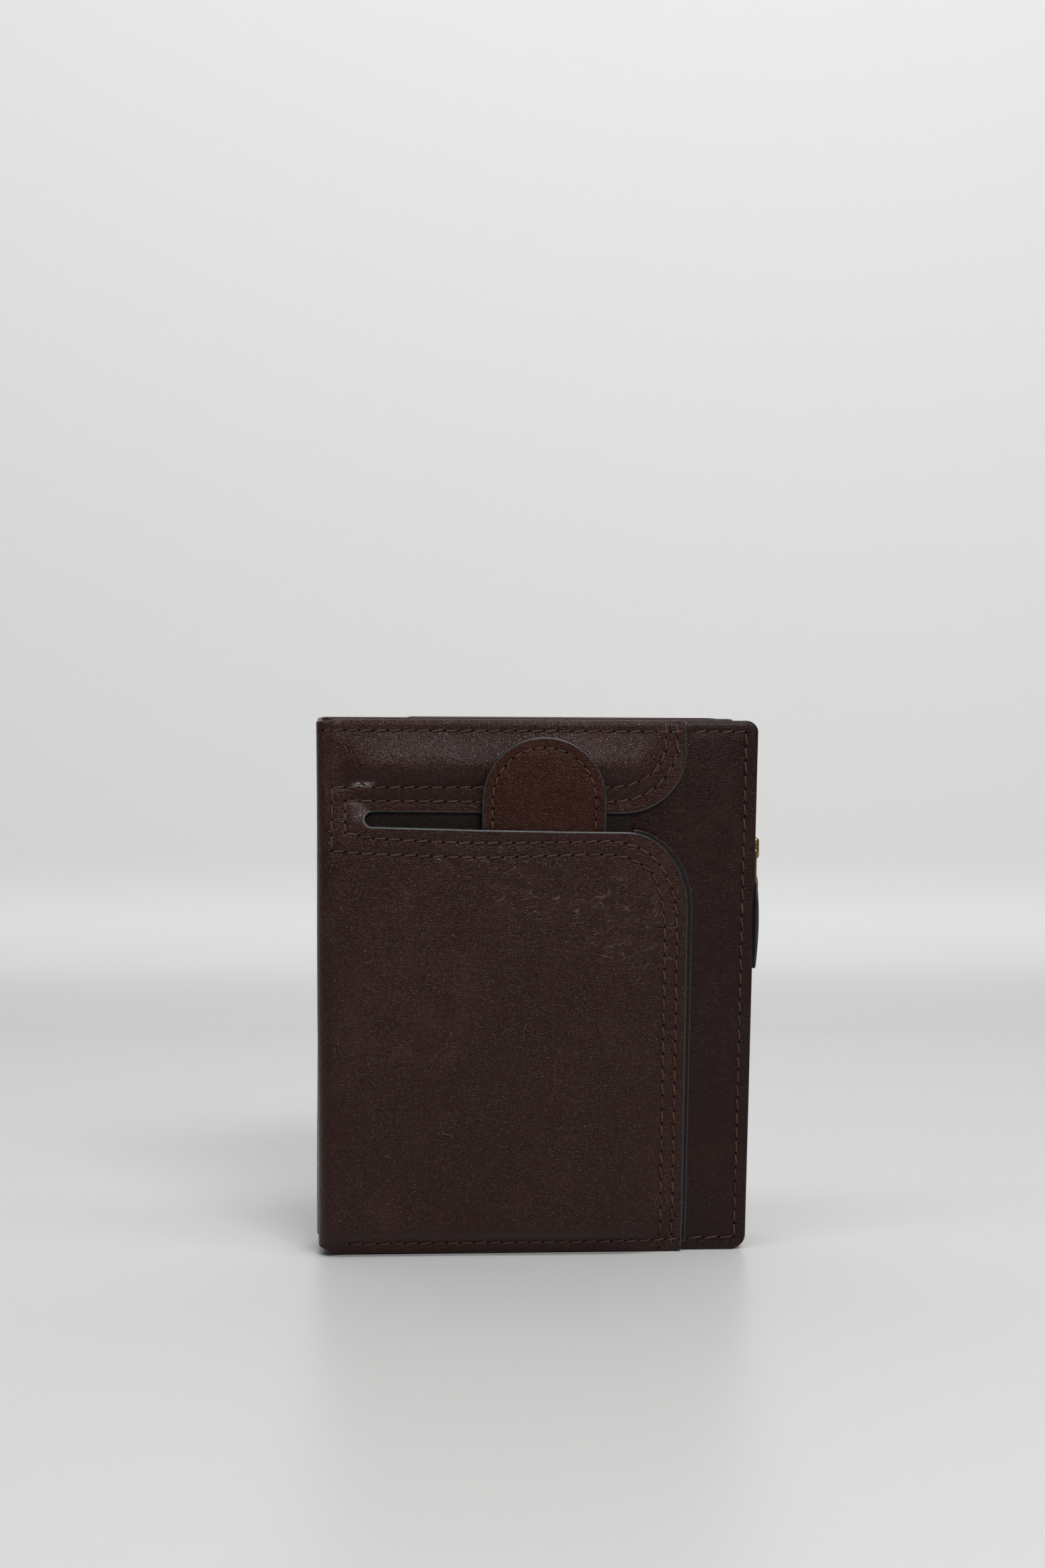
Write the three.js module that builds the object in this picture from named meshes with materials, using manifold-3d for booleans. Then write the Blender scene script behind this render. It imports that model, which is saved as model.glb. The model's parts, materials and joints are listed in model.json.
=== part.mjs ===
// Leather trifold wallet, standing upright and folded shut, in millimetres.
// +Z is up, the decorated cover faces -Y, and X runs along the cover's width.
// Leaf order from front to back: cover leaf, middle leaf, rear leaf. The cover leaf
// folds about the left spine and the rear leaf about the right spine.
import * as THREE from 'three';
import { mergeVertices } from 'three/addons/utils/BufferGeometryUtils.js';
import Module from 'manifold-3d';

const wasm = await Module();
wasm.setup();

// ---------------------------------------------------------------- materials
const mat = (color, roughness, metalness = 0, extra = {}) =>
  new THREE.MeshStandardMaterial({ color, roughness, metalness, ...extra });
const M = {
  leather: mat(0x3a2723, 0.48),
  leatherTab: mat(0x54301f, 0.5),
  leatherLining: mat(0x33241f, 0.7),
  fabric: mat(0x2b2320, 0.9),
  tape: mat(0x2a211e, 0.95),
  brass: mat(0xb08d4c, 0.32, 1.0),
  film: mat(0xd8dad6, 0.15, 0, { transparent: true, opacity: 0.35 }),
};

// ---------------------------------------------------------------- leaf planes
// Hinge axes of the two folds: x and y of each vertical axis.
const LEFT = { x: -46.5, y: 12.3 };
const RIGHT = { x: 46.5, y: 17.9 };
const H = 119.6; // height of the cover leaf; the rear leaf stands slightly taller
const X0 = LEFT.x + 0.3; // left edge of the flat plates
const XR = 49.5; // free edge of the cover leaf at the top
const XRB = 47.7; // free edge of the cover leaf at the base: the leaf narrows a little downwards
const XM = RIGHT.x - 0.3; // right edge of the middle and rear leaves

// ---------------------------------------------------------------- helpers
const root = new THREE.Group();
const cover = new THREE.Group();
const middle = new THREE.Group();
const rearLeaf = new THREE.Group();
root.add(cover, middle, rearLeaf);

// Rectangle in x and z with one corner radius each: bottom-left, bottom-right, top-right, top-left.
function rect(x0, z0, x1, z1, r = [0, 0, 0, 0]) {
  const s = new THREE.Shape();
  s.moveTo(x0 + r[0], z0);
  s.lineTo(x1 - r[1], z0);
  if (r[1]) s.absarc(x1 - r[1], z0 + r[1], r[1], -Math.PI / 2, 0, false);
  s.lineTo(x1, z1 - r[2]);
  if (r[2]) s.absarc(x1 - r[2], z1 - r[2], r[2], 0, Math.PI / 2, false);
  s.lineTo(x0 + r[3], z1);
  if (r[3]) s.absarc(x0 + r[3], z1 - r[3], r[3], Math.PI / 2, Math.PI, false);
  s.lineTo(x0, z0 + r[0]);
  if (r[0]) s.absarc(x0 + r[0], z0 + r[0], r[0], Math.PI, Math.PI * 1.5, false);
  return s;
}

// Full outline of the cover leaf, with its slightly narrower base and rounded free corners.
function leafOutline() {
  const s = new THREE.Shape();
  s.moveTo(X0, 0);
  s.lineTo(XRB - 3.3, 0);
  s.quadraticCurveTo(XRB, 0, XRB + 0.05, 3.3);
  s.lineTo(XR - 0.04, H - 2.8);
  s.quadraticCurveTo(XR, H, XR - 2.8, H);
  s.lineTo(X0, H);
  s.lineTo(X0, 0);
  return s;
}

// Flat sheet: the outline lies in x and z, and the sheet fills y0 to y1.
function sheetGeometry(shape, y0, y1, curveSegments = 8) {
  const g = new THREE.ExtrudeGeometry(shape, { depth: y1 - y0, bevelEnabled: false, curveSegments });
  g.rotateX(Math.PI / 2);
  g.translate(0, y1, 0);
  return g;
}

function sheet(group, name, shape, y0, y1, material, curveSegments = 8) {
  const g = new THREE.ExtrudeGeometry(shape, { depth: y1 - y0, bevelEnabled: false, curveSegments });
  const m = new THREE.Mesh(g, material);
  m.name = name;
  m.rotation.x = Math.PI / 2;
  m.position.y = y1;
  group.add(m);
  return m;
}

// Upright profile: the outline lies in x and y, and it rises from z0 to z1.
function upright(group, name, points, z0, z1, material) {
  const g = new THREE.ExtrudeGeometry(new THREE.Shape(points.map(([x, y]) => new THREE.Vector2(x, y))), {
    depth: z1 - z0,
    bevelEnabled: false,
  });
  const m = new THREE.Mesh(g, material);
  m.name = name;
  m.position.z = z0;
  group.add(m);
  return m;
}

function solid(geometry) {
  let g = geometry.index ? geometry.toNonIndexed() : geometry.clone();
  g.deleteAttribute('normal');
  g.deleteAttribute('uv');
  g = mergeVertices(g, 1e-5);
  return new wasm.Manifold(
    new wasm.Mesh({
      numProp: 3,
      vertProperties: new Float32Array(g.attributes.position.array),
      triVerts: new Uint32Array(g.index.array),
    }),
  );
}

function fromSolid(group, name, manifold, material) {
  const m = manifold.getMesh();
  const g = new THREE.BufferGeometry();
  g.setAttribute('position', new THREE.BufferAttribute(new Float32Array(m.vertProperties), 3));
  g.setIndex(new THREE.BufferAttribute(new Uint32Array(m.triVerts), 1));
  const flat = g.toNonIndexed();
  flat.computeVertexNormals();
  const mesh = new THREE.Mesh(flat, material);
  mesh.name = name;
  group.add(mesh);
  return mesh;
}

const box = (x0, y0, z0, x1, y1, z1) => {
  const g = new THREE.BoxGeometry(x1 - x0, y1 - y0, z1 - z0);
  g.translate((x0 + x1) / 2, (y0 + y1) / 2, (z0 + z1) / 2);
  return g;
};

// ================================================================ COVER LEAF
// Front overlay: one leather sheet slit from the right, which leaves an upper lobe and a
// lower lobe. The lower lobe stands forward, over the sleeve pocket; the upper lobe is tucked
// behind the pull tab. They join in the strip to the left of the slit.
const SLIT_LEFT = -39.6;
{
  const lower = new THREE.Shape();
  lower.moveTo(X0, 0);
  lower.lineTo(33.2, 0);
  lower.lineTo(34.1, 76.3);
  // rounded corner of the lower lobe
  lower.bezierCurveTo(34.2, 86.5, 30.3, 94.7, 19.7, 95.0);
  lower.lineTo(-12, 95.4);
  lower.lineTo(-37, 96.0);
  lower.lineTo(X0, 96.2);
  const upper = new THREE.Shape();
  upper.moveTo(X0, 98.9);
  upper.lineTo(-37, 98.8);
  upper.lineTo(19.7, 98.6);
  // rounded corner of the upper lobe
  upper.bezierCurveTo(27.7, 99.2, 33.4, 105.2, 34.0, 113.4);
  upper.lineTo(33.9, H);
  upper.lineTo(X0, H);
  const web = rect(X0, 3, SLIT_LEFT - 0.8, 117);
  const piece = solid(sheetGeometry(lower, 0, 1.1, 10))
    .add(solid(sheetGeometry(upper, 2.7, 3.7, 10)))
    .add(solid(sheetGeometry(web, 0, 3.7)));
  fromSolid(cover, 'cover_overlay', piece, M.leather);
}

// Backing behind the lower lobe: a U of board and leather that makes the sides and the floor
// of the sleeve pocket, open at the top.
{
  const s = new THREE.Shape();
  s.moveTo(-40.2, 0.4);
  s.lineTo(32.6, 0.4);
  s.lineTo(33.6, 76);
  s.bezierCurveTo(33.5, 86.0, 29.6, 94.0, 21.6, 94.4);
  s.lineTo(21.0, 94.4);
  s.lineTo(21.0, 5.4);
  s.lineTo(-39.3, 5.4);
  s.lineTo(-39.3, 94.6);
  s.lineTo(-40.2, 94.6);
  sheet(cover, 'overlay_backing', s, 1.2, 4.2, M.leatherLining);
}

// Lining sheet behind the sleeve pocket, seen as a thin strip between the lobes.
sheet(cover, 'sleeve_pocket_lining', rect(-38.9, 5.8, 20.7, 114), 3.8, 4.2, M.leatherLining);

// Base panel: the full front sheet, seen as a strip to the right of the overlay.
sheet(cover, 'cover_base_panel', leafOutline(), 4.3, 5.5, M.leather);

// Coin pocket between the base panel and the inner panel, lined on both faces.
sheet(cover, 'coin_pocket_front_lining', rect(-44, 3, 44.6, 117), 5.6, 5.8, M.fabric);
sheet(cover, 'coin_pocket_rear_lining', rect(-44, 3, 44.6, 117), 9.2, 9.4, M.fabric);

// Zip along the free edge: two tapes, two rows of teeth, and the two end stops.
const ZIP = { z0: 14, z1: 94.2, pitch: 2.0 };
sheet(cover, 'zip_tape_front', rect(39.5, 9, 45.4, 100), 5.95, 6.25, M.tape);
sheet(cover, 'zip_tape_rear', rect(39.5, 9, 45.4, 100), 8.75, 9.05, M.tape);
function teeth(name, front) {
  // Comb outline in y and z; the rail carries teeth that reach past the middle plane.
  const rail = front ? [6.3, 6.9] : [8.7, 8.1];
  const tip = front ? 7.95 : 7.05;
  const pts = [[rail[0], ZIP.z0]];
  const off = front ? 0.3 : 1.3;
  const body = [[rail[1], ZIP.z0]];
  for (let z = ZIP.z0 + off; z + 0.8 < ZIP.z1; z += ZIP.pitch) {
    body.push([rail[1], z], [tip, z], [tip, z + 0.8], [rail[1], z + 0.8]);
  }
  body.push([rail[1], ZIP.z1]);
  pts.push(...body, [rail[0], ZIP.z1]);
  // The outline is drawn as (z, y) and laid so that it extrudes along x.
  const shape = new THREE.Shape(pts.map(([y, z]) => new THREE.Vector2(y, z)));
  const g = new THREE.ExtrudeGeometry(shape, { depth: 1.3, bevelEnabled: false });
  // (y, z, x) to (x, y, z): a cyclic turn keeps the faces pointing out
  const t = new THREE.Matrix4().set(0, 0, 1, 0, 1, 0, 0, 0, 0, 1, 0, 0, 0, 0, 0, 1);
  g.applyMatrix4(t);
  const m = new THREE.Mesh(g, M.brass);
  m.name = name;
  m.position.x = 45.7;
  cover.add(m);
}
teeth('zip_teeth_front', true);
teeth('zip_teeth_rear', false);
{
  const stop = (name, z0, z1) => {
    const m = new THREE.Mesh(new THREE.BoxGeometry(1.5, 2.6, z1 - z0), M.brass);
    m.name = name;
    m.position.set(46.4, 7.5, (z0 + z1) / 2);
    cover.add(m);
  };
  stop('zip_top_stop', 94.7, 96.7);
  stop('zip_bottom_stop', 11.2, 13.6);
}

// Inner panel of the cover leaf, with three stepped card pockets on its inside face.
sheet(cover, 'cover_inner_panel', leafOutline(), 9.5, 10.3, M.leather);
const pocket = (x0, x1, z1) => {
  const s = new THREE.Shape();
  const c = (x0 + x1) / 2;
  s.moveTo(x0, 2);
  s.lineTo(x1, 2);
  s.lineTo(x1, z1);
  s.lineTo(c + 14, z1);
  s.quadraticCurveTo(c, z1 - 4, c - 14, z1);
  s.lineTo(x0, z1);
  return s;
};
sheet(cover, 'cover_card_pocket_upper', pocket(X0 + 0.6, 46.8, 102), 10.4, 10.8, M.leather);
sheet(cover, 'cover_card_pocket_middle', pocket(X0 + 0.6, 46.8, 86), 10.9, 11.3, M.leather);
sheet(cover, 'cover_card_pocket_lower', pocket(X0 + 0.6, 46.8, 70), 11.4, 11.8, M.leather);

// ---------------------------------------------------------------- card sleeve
// A thin windowed sleeve in the pocket behind the lower lobe. The pull tab on its top edge
// comes out through the slit and lies over the upper lobe.
const sleeve = new THREE.Group();
cover.add(sleeve);
sheet(sleeve, 'card_sleeve_back', rect(-38, 6.6, 19.8, 94.2, [2, 2, 2, 2]), 2.0, 2.5, M.leatherTab);
{
  const s = rect(-38, 6.6, 19.8, 94.2, [2, 2, 2, 2]);
  const hole = new THREE.Path();
  hole.moveTo(-32, 13);
  hole.lineTo(-32, 76);
  hole.lineTo(13.8, 76);
  hole.lineTo(13.8, 13);
  hole.lineTo(-32, 13);
  s.holes.push(hole);
  // clearance for the tongue of the pull tab
  const frame = solid(sheetGeometry(s, 1.3, 1.7)).subtract(solid(box(-12.4, 1, 80, 16.3, 2, 100)));
  fromSolid(sleeve, 'card_sleeve_frame', frame, M.leatherTab);
}
sheet(sleeve, 'card_sleeve_window', rect(-31.7, 13.3, 13.5, 75.7), 1.4, 1.6, M.film);
{
  const s = new THREE.Shape();
  s.moveTo(-12.0, 80.4);
  s.lineTo(15.9, 80.4);
  s.lineTo(15.9, 102.5);
  s.absarc(1.95, 102.5, 13.95, 0, Math.PI, false);
  s.lineTo(-12.0, 80.4);
  sheet(sleeve, 'pull_tab', s, 1.3, 1.9, M.leatherTab, 24);
}

// ---------------------------------------------------------------- zip slider and puller
{
  // Channel that rides over both rows of teeth, with a raised bridge for the pull link.
  const zc = 91.2;
  let s = solid(box(47.35, 5.8, zc - 2.8, 48.25, 9.2, zc + 2.8));
  s = s.add(solid(box(45.6, 5.8, zc - 2.8, 47.5, 6.1, zc + 2.8)));
  s = s.add(solid(box(45.6, 8.9, zc - 2.8, 47.5, 9.2, zc + 2.8)));
  s = s.add(solid(box(48.1, 7.1, zc - 2.3, 50.5, 7.9, zc - 1.6)));
  s = s.add(solid(box(48.1, 7.1, zc - 0.2, 50.5, 7.9, zc + 1.6)));
  s = s.add(solid(box(50.4, 7.1, zc - 2.3, 50.9, 7.9, zc + 1.6)));
  fromSolid(cover, 'zip_slider', s, M.brass);

  // Pull link: an oval ring whose top bar runs under the bridge.
  const pz = zc - 0.9; // pivot height
  const ring = rect(5.7, pz - 7.4, 9.3, pz + 0.4, [1.2, 1.2, 0.4, 0.4]);
  const hole = new THREE.Path();
  hole.moveTo(6.4, pz - 6.6);
  hole.lineTo(6.4, pz - 0.4);
  hole.lineTo(8.6, pz - 0.4);
  hole.lineTo(8.6, pz - 6.6);
  hole.lineTo(6.4, pz - 6.6);
  ring.holes.push(hole);
  const g = new THREE.ExtrudeGeometry(ring, { depth: 0.6, bevelEnabled: false, curveSegments: 5 });
  g.applyMatrix4(new THREE.Matrix4().set(0, 0, 1, 0, 1, 0, 0, 0, 0, 1, 0, 0, 0, 0, 0, 1));
  const link = new THREE.Mesh(g, M.brass);
  link.name = 'pull_link';
  link.position.x = 49.6;
  cover.add(link);

  // Leather puller: a slim lens-shaped strap folded through the link.
  const p = new THREE.Shape();
  const top = pz - 6.9 + 0.0;
  p.moveTo(6.7, top - 0.9);
  p.lineTo(8.3, top - 0.9);
  p.bezierCurveTo(10.6, top - 4.5, 10.4, top - 14.5, 8.4, top - 19);
  p.quadraticCurveTo(7.5, top - 20, 6.6, top - 19);
  p.bezierCurveTo(4.6, top - 14.5, 4.4, top - 4.5, 6.7, top - 0.9);
  const pg = new THREE.ExtrudeGeometry(p, { depth: 0.9, bevelEnabled: false, curveSegments: 8 });
  pg.applyMatrix4(new THREE.Matrix4().set(0, 0, 1, 0, 1, 0, 0, 0, 0, 1, 0, 0, 0, 0, 0, 1));
  const puller = new THREE.Mesh(pg, M.leatherTab);
  puller.name = 'puller_leather';
  puller.position.x = 49.45;
  cover.add(puller);
}

// ================================================================ MIDDLE LEAF
sheet(middle, 'middle_card_pocket_lower', pocket(X0 + 0.6, XM - 0.6, 70), 12.6, 13.0, M.leather);
sheet(middle, 'middle_card_pocket_middle', pocket(X0 + 0.6, XM - 0.6, 86), 13.1, 13.5, M.leather);
sheet(middle, 'middle_card_pocket_upper', pocket(X0 + 0.6, XM - 0.6, 102), 13.6, 14.0, M.leather);
sheet(middle, 'middle_front_panel', rect(X0, 0, XM, 119.4), 14.1, 14.9, M.leather);
sheet(middle, 'bill_divider', rect(X0 + 1, 2, XM - 1, 112), 15.5, 15.8, M.fabric);
sheet(middle, 'middle_outer_panel', rect(X0, 0, XM, 119.8), 16.5, 17.7, M.leather);

// Left spine: one bent strip that joins the front of the cover leaf to the back of the middle leaf.
upright(
  middle,
  'left_spine_leather',
  [
    [-46.8, 0.1], [-46.8, 0.9], [-47.4, 1.0], [-48.2, 1.6], [-48.6, 2.8], [-48.6, 15.2], [-48.3, 16.3], [-47.6, 16.9], [-46.8, 17.0],
    [-46.8, 17.7], [-47.8, 17.6], [-48.9, 16.8], [-49.5, 15.4], [-49.5, 2.6], [-48.9, 1.0], [-47.8, 0.2],
  ],
  0.3,
  119.4,
  M.leather,
);
// Right spine: joins the middle leaf to the rear leaf.
upright(
  middle,
  'right_spine_leather',
  [
    [46.8, 14.2], [47.6, 14.4], [48.3, 15.2], [48.5, 16.3], [48.5, 19.9], [48.2, 21.0], [47.5, 21.8], [46.8, 22.0],
    [46.8, 21.2], [47.2, 21.0], [47.6, 20.4], [47.7, 19.7], [47.7, 16.4], [47.5, 15.6], [47.1, 15.1], [46.8, 15.0],
  ],
  0.3,
  119.4,
  M.leather,
);

// ================================================================ REAR LEAF
const XL = -31; // free edge of the rear leaf
{
  const s = rect(XL, 0, XM, 120, [3, 0, 0, 3]);
  const hole = new THREE.Path();
  hole.moveTo(XL + 9, 26);
  hole.lineTo(XL + 9, 100);
  hole.lineTo(XM - 9, 100);
  hole.lineTo(XM - 9, 26);
  hole.lineTo(XL + 9, 26);
  s.holes.push(hole);
  sheet(rearLeaf, 'id_window_frame', s, 18.1, 18.8, M.leather);
}
sheet(rearLeaf, 'id_window_film', rect(XL + 5, 22, XM - 5, 104), 18.9, 19.1, M.film);
sheet(rearLeaf, 'leaf_inner_panel', rect(XL + 0.4, 0.4, XM - 0.4, 119.6, [3, 0, 0, 3]), 19.4, 20.0, M.fabric);
sheet(rearLeaf, 'leaf_outer_panel', rect(XL, 0, XM, 120, [3, 0, 0, 3]), 20.2, 21.2, M.leather);
{
  const s = new THREE.Shape();
  s.moveTo(XL + 2.5, 0);
  s.lineTo(XM, 0);
  s.lineTo(XM, 92);
  s.quadraticCurveTo((XL + XM) / 2, 85, XL, 92);
  s.lineTo(XL, 2.5);
  s.absarc(XL + 2.5, 2.5, 2.5, Math.PI, Math.PI * 1.5, false);
  sheet(rearLeaf, 'leaf_slip_pocket', s, 21.3, 22.1, M.leather, 12);
}

// ---------------------------------------------------------------- origin
// Centre of the footprint at the base: halfway between the spine and the bridge of the zip
// slider, and halfway between the front and the back.
root.position.set(-(50.9 - 49.5) / 2, -22.1 / 2, 0);

export default root;
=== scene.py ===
import json
import math

import bmesh
import bpy
import numpy as np
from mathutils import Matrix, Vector, geometry


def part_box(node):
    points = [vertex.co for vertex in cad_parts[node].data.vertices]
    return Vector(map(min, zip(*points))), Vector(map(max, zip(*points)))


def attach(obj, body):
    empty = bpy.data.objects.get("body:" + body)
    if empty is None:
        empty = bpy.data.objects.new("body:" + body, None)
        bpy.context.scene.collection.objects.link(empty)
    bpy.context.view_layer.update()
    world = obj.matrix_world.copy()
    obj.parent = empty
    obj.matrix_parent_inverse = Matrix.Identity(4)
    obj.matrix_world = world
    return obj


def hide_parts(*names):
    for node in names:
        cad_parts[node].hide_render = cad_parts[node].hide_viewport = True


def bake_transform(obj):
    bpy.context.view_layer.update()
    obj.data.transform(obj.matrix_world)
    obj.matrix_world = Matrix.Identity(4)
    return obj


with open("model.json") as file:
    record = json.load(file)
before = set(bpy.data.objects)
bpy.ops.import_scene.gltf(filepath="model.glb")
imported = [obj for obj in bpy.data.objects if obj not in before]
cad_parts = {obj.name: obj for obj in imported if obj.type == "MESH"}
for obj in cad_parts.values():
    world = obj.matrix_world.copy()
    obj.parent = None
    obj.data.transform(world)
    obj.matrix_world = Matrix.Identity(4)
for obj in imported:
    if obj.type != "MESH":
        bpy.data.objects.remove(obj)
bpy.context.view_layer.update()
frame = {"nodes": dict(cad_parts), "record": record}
RNG = np.random.default_rng(11)

# ------------------------------------------------------------------ wallet frame, in mm
# x: from the middle of the cover's width, y: depth from the front, z: up
_lo, _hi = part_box("cover_base_panel")
OX = _hi[0] * 1000 - 49.5
OY = _lo[1] * 1000 - 4.3
COVER_H = 119.6


def to_m(p):
    p = np.asarray(p, float)
    return (p + np.array([OX, OY, 0.0])) / 1000.0


def S(a, b, v):
    t = np.clip((np.asarray(v, float) - a) / (b - a), 0, 1)
    return t * t * (3 - 2 * t)


def taper_x(x, z):
    """The cover leaf narrows slightly towards its base."""
    u = (x + 49.5) / 99.0
    return x + (1 - z / 120.0) * (0.9 * (1 - u) - 1.8 * u)


# ------------------------------------------------------------------ polylines
def line(a, b, step=0.9):
    a, b = np.array(a, float), np.array(b, float)
    n = max(1, int(round(np.linalg.norm(b - a) / step)))
    return [tuple(a + (b - a) * i / n) for i in range(n)]


def arc(cx, cz, rx, rz, a0, a1, n):
    return [
        (cx + rx * math.cos(math.radians(a0 + (a1 - a0) * i / n)), cz + rz * math.sin(math.radians(a0 + (a1 - a0) * i / n)))
        for i in range(n)
    ]


def smooth_curve(pts, n=6):
    """Catmull-Rom curve through the points."""
    p = [np.array(q, float) for q in pts]
    p = [2 * p[0] - p[1], *p, 2 * p[-1] - p[-2]]
    out = []
    for i in range(1, len(p) - 2):
        for k in range(n):
            t = k / n
            out.append(
                0.5
                * (
                    2 * p[i]
                    + (p[i + 1] - p[i - 1]) * t
                    + (2 * p[i - 1] - 5 * p[i] + 4 * p[i + 1] - p[i + 2]) * t * t
                    + (3 * p[i] - p[i - 1] - 3 * p[i + 1] + p[i + 2]) * t**3
                )
            )
    out.append(p[-2])
    return np.array(out)


def dist_to(pts, polys):
    """Distance from each point to the nearest of the polylines."""
    best = np.full(len(pts), 1e9)
    for poly in polys:
        a, b = poly[:-1], poly[1:]
        d = b - a
        l2 = np.maximum((d**2).sum(1), 1e-12)
        for i in range(0, len(pts), 4000):
            q = pts[i : i + 4000]
            t = np.clip(((q[:, None] - a[None]) * d[None]).sum(2) / l2, 0, 1)
            c = a[None] + d[None] * t[..., None]
            r = np.sqrt(((q[:, None] - c) ** 2).sum(2)).min(1)
            best[i : i + 4000] = np.minimum(best[i : i + 4000], r)
    return best


def along(poly, pitch):
    """Points at equal spacing along a polyline."""
    seg = np.linalg.norm(np.diff(poly, axis=0), axis=1)
    s = np.concatenate([[0], np.cumsum(seg)])
    n = max(1, int(round(s[-1] / pitch)))
    at = np.linspace(0, s[-1], n + 1)
    return np.stack([np.interp(at, s, poly[:, k]) for k in (0, 1)], 1)


def inside(pts, loops):
    """Even-odd test against all loops together."""
    hit = np.zeros(len(pts), bool)
    for loop in loops:
        x1, y1 = loop[:, 0], loop[:, 1]
        x2, y2 = np.roll(x1, -1), np.roll(y1, -1)
        for i in range(0, len(pts), 4000):
            px, py = pts[i : i + 4000, 0][:, None], pts[i : i + 4000, 1][:, None]
            c = (y1 > py) != (y2 > py)
            xs = (x2 - x1) * (py - y1) / np.where(y2 == y1, 1e-12, y2 - y1) + x1
            hit[i : i + 4000] ^= ((c & (px < xs)).sum(1) % 2).astype(bool)
    return hit


def inset(loop, d):
    """The loop moved by d to its left, which is towards the material."""
    prev, nxt = np.roll(loop, 1, 0), np.roll(loop, -1, 0)
    t1 = loop - prev
    t2 = nxt - loop
    t1 /= np.maximum(np.linalg.norm(t1, axis=1)[:, None], 1e-9)
    t2 /= np.maximum(np.linalg.norm(t2, axis=1)[:, None], 1e-9)
    n1 = np.stack([-t1[:, 1], t1[:, 0]], 1)
    n2 = np.stack([-t2[:, 1], t2[:, 0]], 1)
    n = n1 + n2
    n /= np.maximum(np.linalg.norm(n, axis=1)[:, None], 1e-9)
    c = np.clip((n * n1).sum(1), 0.45, 1)
    return loop + n * (d / c)[:, None]


# ------------------------------------------------------------------ surfaces
class Surf:
    """A bent sheet: plan(s) gives x, y and the outward normal of its base line, h(s, z) stands out from it."""

    def __init__(self, plan, h, tap=None):
        self.plan, self.h, self.tap = plan, h, tap

    def pos(self, p, off=0.0):
        s, z = p[:, 0], p[:, 1]
        x, y, nx, ny = self.plan(s)
        k = self.h(s, z) + off
        x, y = x + nx * k, y + ny * k
        if self.tap is not None:
            x = self.tap(x, y, z)
        return np.stack([x, y, z + 0 * x], 1)

    def axes(self, p, e=0.2):
        ds = self.pos(p + [e, 0]) - self.pos(p - [e, 0])
        dz = self.pos(p + [0, e]) - self.pos(p - [0, e])
        ds /= np.linalg.norm(ds, axis=1)[:, None]
        dz /= np.linalg.norm(dz, axis=1)[:, None]
        n = np.cross(ds, dz)
        n /= np.linalg.norm(n, axis=1)[:, None]
        return ds, dz, n


def plan_front(y0):
    return lambda s: (s, 0 * s + y0, 0 * s, 0 * s - 1.0)


def plan_back(y0):
    return lambda s: (-s, 0 * s + y0, 0 * s, 0 * s + 1.0)


def plan_right(x0):
    return lambda s: (0 * s + x0, s, 0 * s + 1.0, 0 * s)


def tap_cover(x, y, z):
    return taper_x(x, z)


def tap_shell(x, y, z):
    return x + (taper_x(x, z) - x) * (1 - S(11.5, 16.5, y))


def with_grooves(h, rows, depth=0.2, holes=None):
    def f(s, z):
        base = h(s, z)
        if not rows:
            return base
        p = np.stack([np.ravel(s + 0 * z), np.ravel(z + 0 * s)], 1)
        d = dist_to(p, rows).reshape(np.shape(base))
        g = depth * np.exp(-((d / 0.55) ** 2)) + 0.45 * depth * np.exp(-((d / 1.6) ** 2))
        return base - g

    return f


# ------------------------------------------------------------------ mesh making
def make_object(name, verts, faces, mats, index, rest, smooth=True):
    me = bpy.data.meshes.new(name)
    me.from_pydata([tuple(v) for v in to_m(verts)], [], faces)
    for m in mats:
        me.materials.append(m)
    me.polygons.foreach_set("material_index", np.asarray(index, np.int32))
    me.polygons.foreach_set("use_smooth", np.full(len(me.polygons), smooth, bool))
    a = me.attributes.new("rest", "FLOAT_VECTOR", "POINT")
    a.data.foreach_set("vector", np.asarray(rest, np.float32).ravel())
    me.validate()
    me.update()
    o = bpy.data.objects.new(name, me)
    bpy.context.scene.collection.objects.link(o)
    return o


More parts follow.
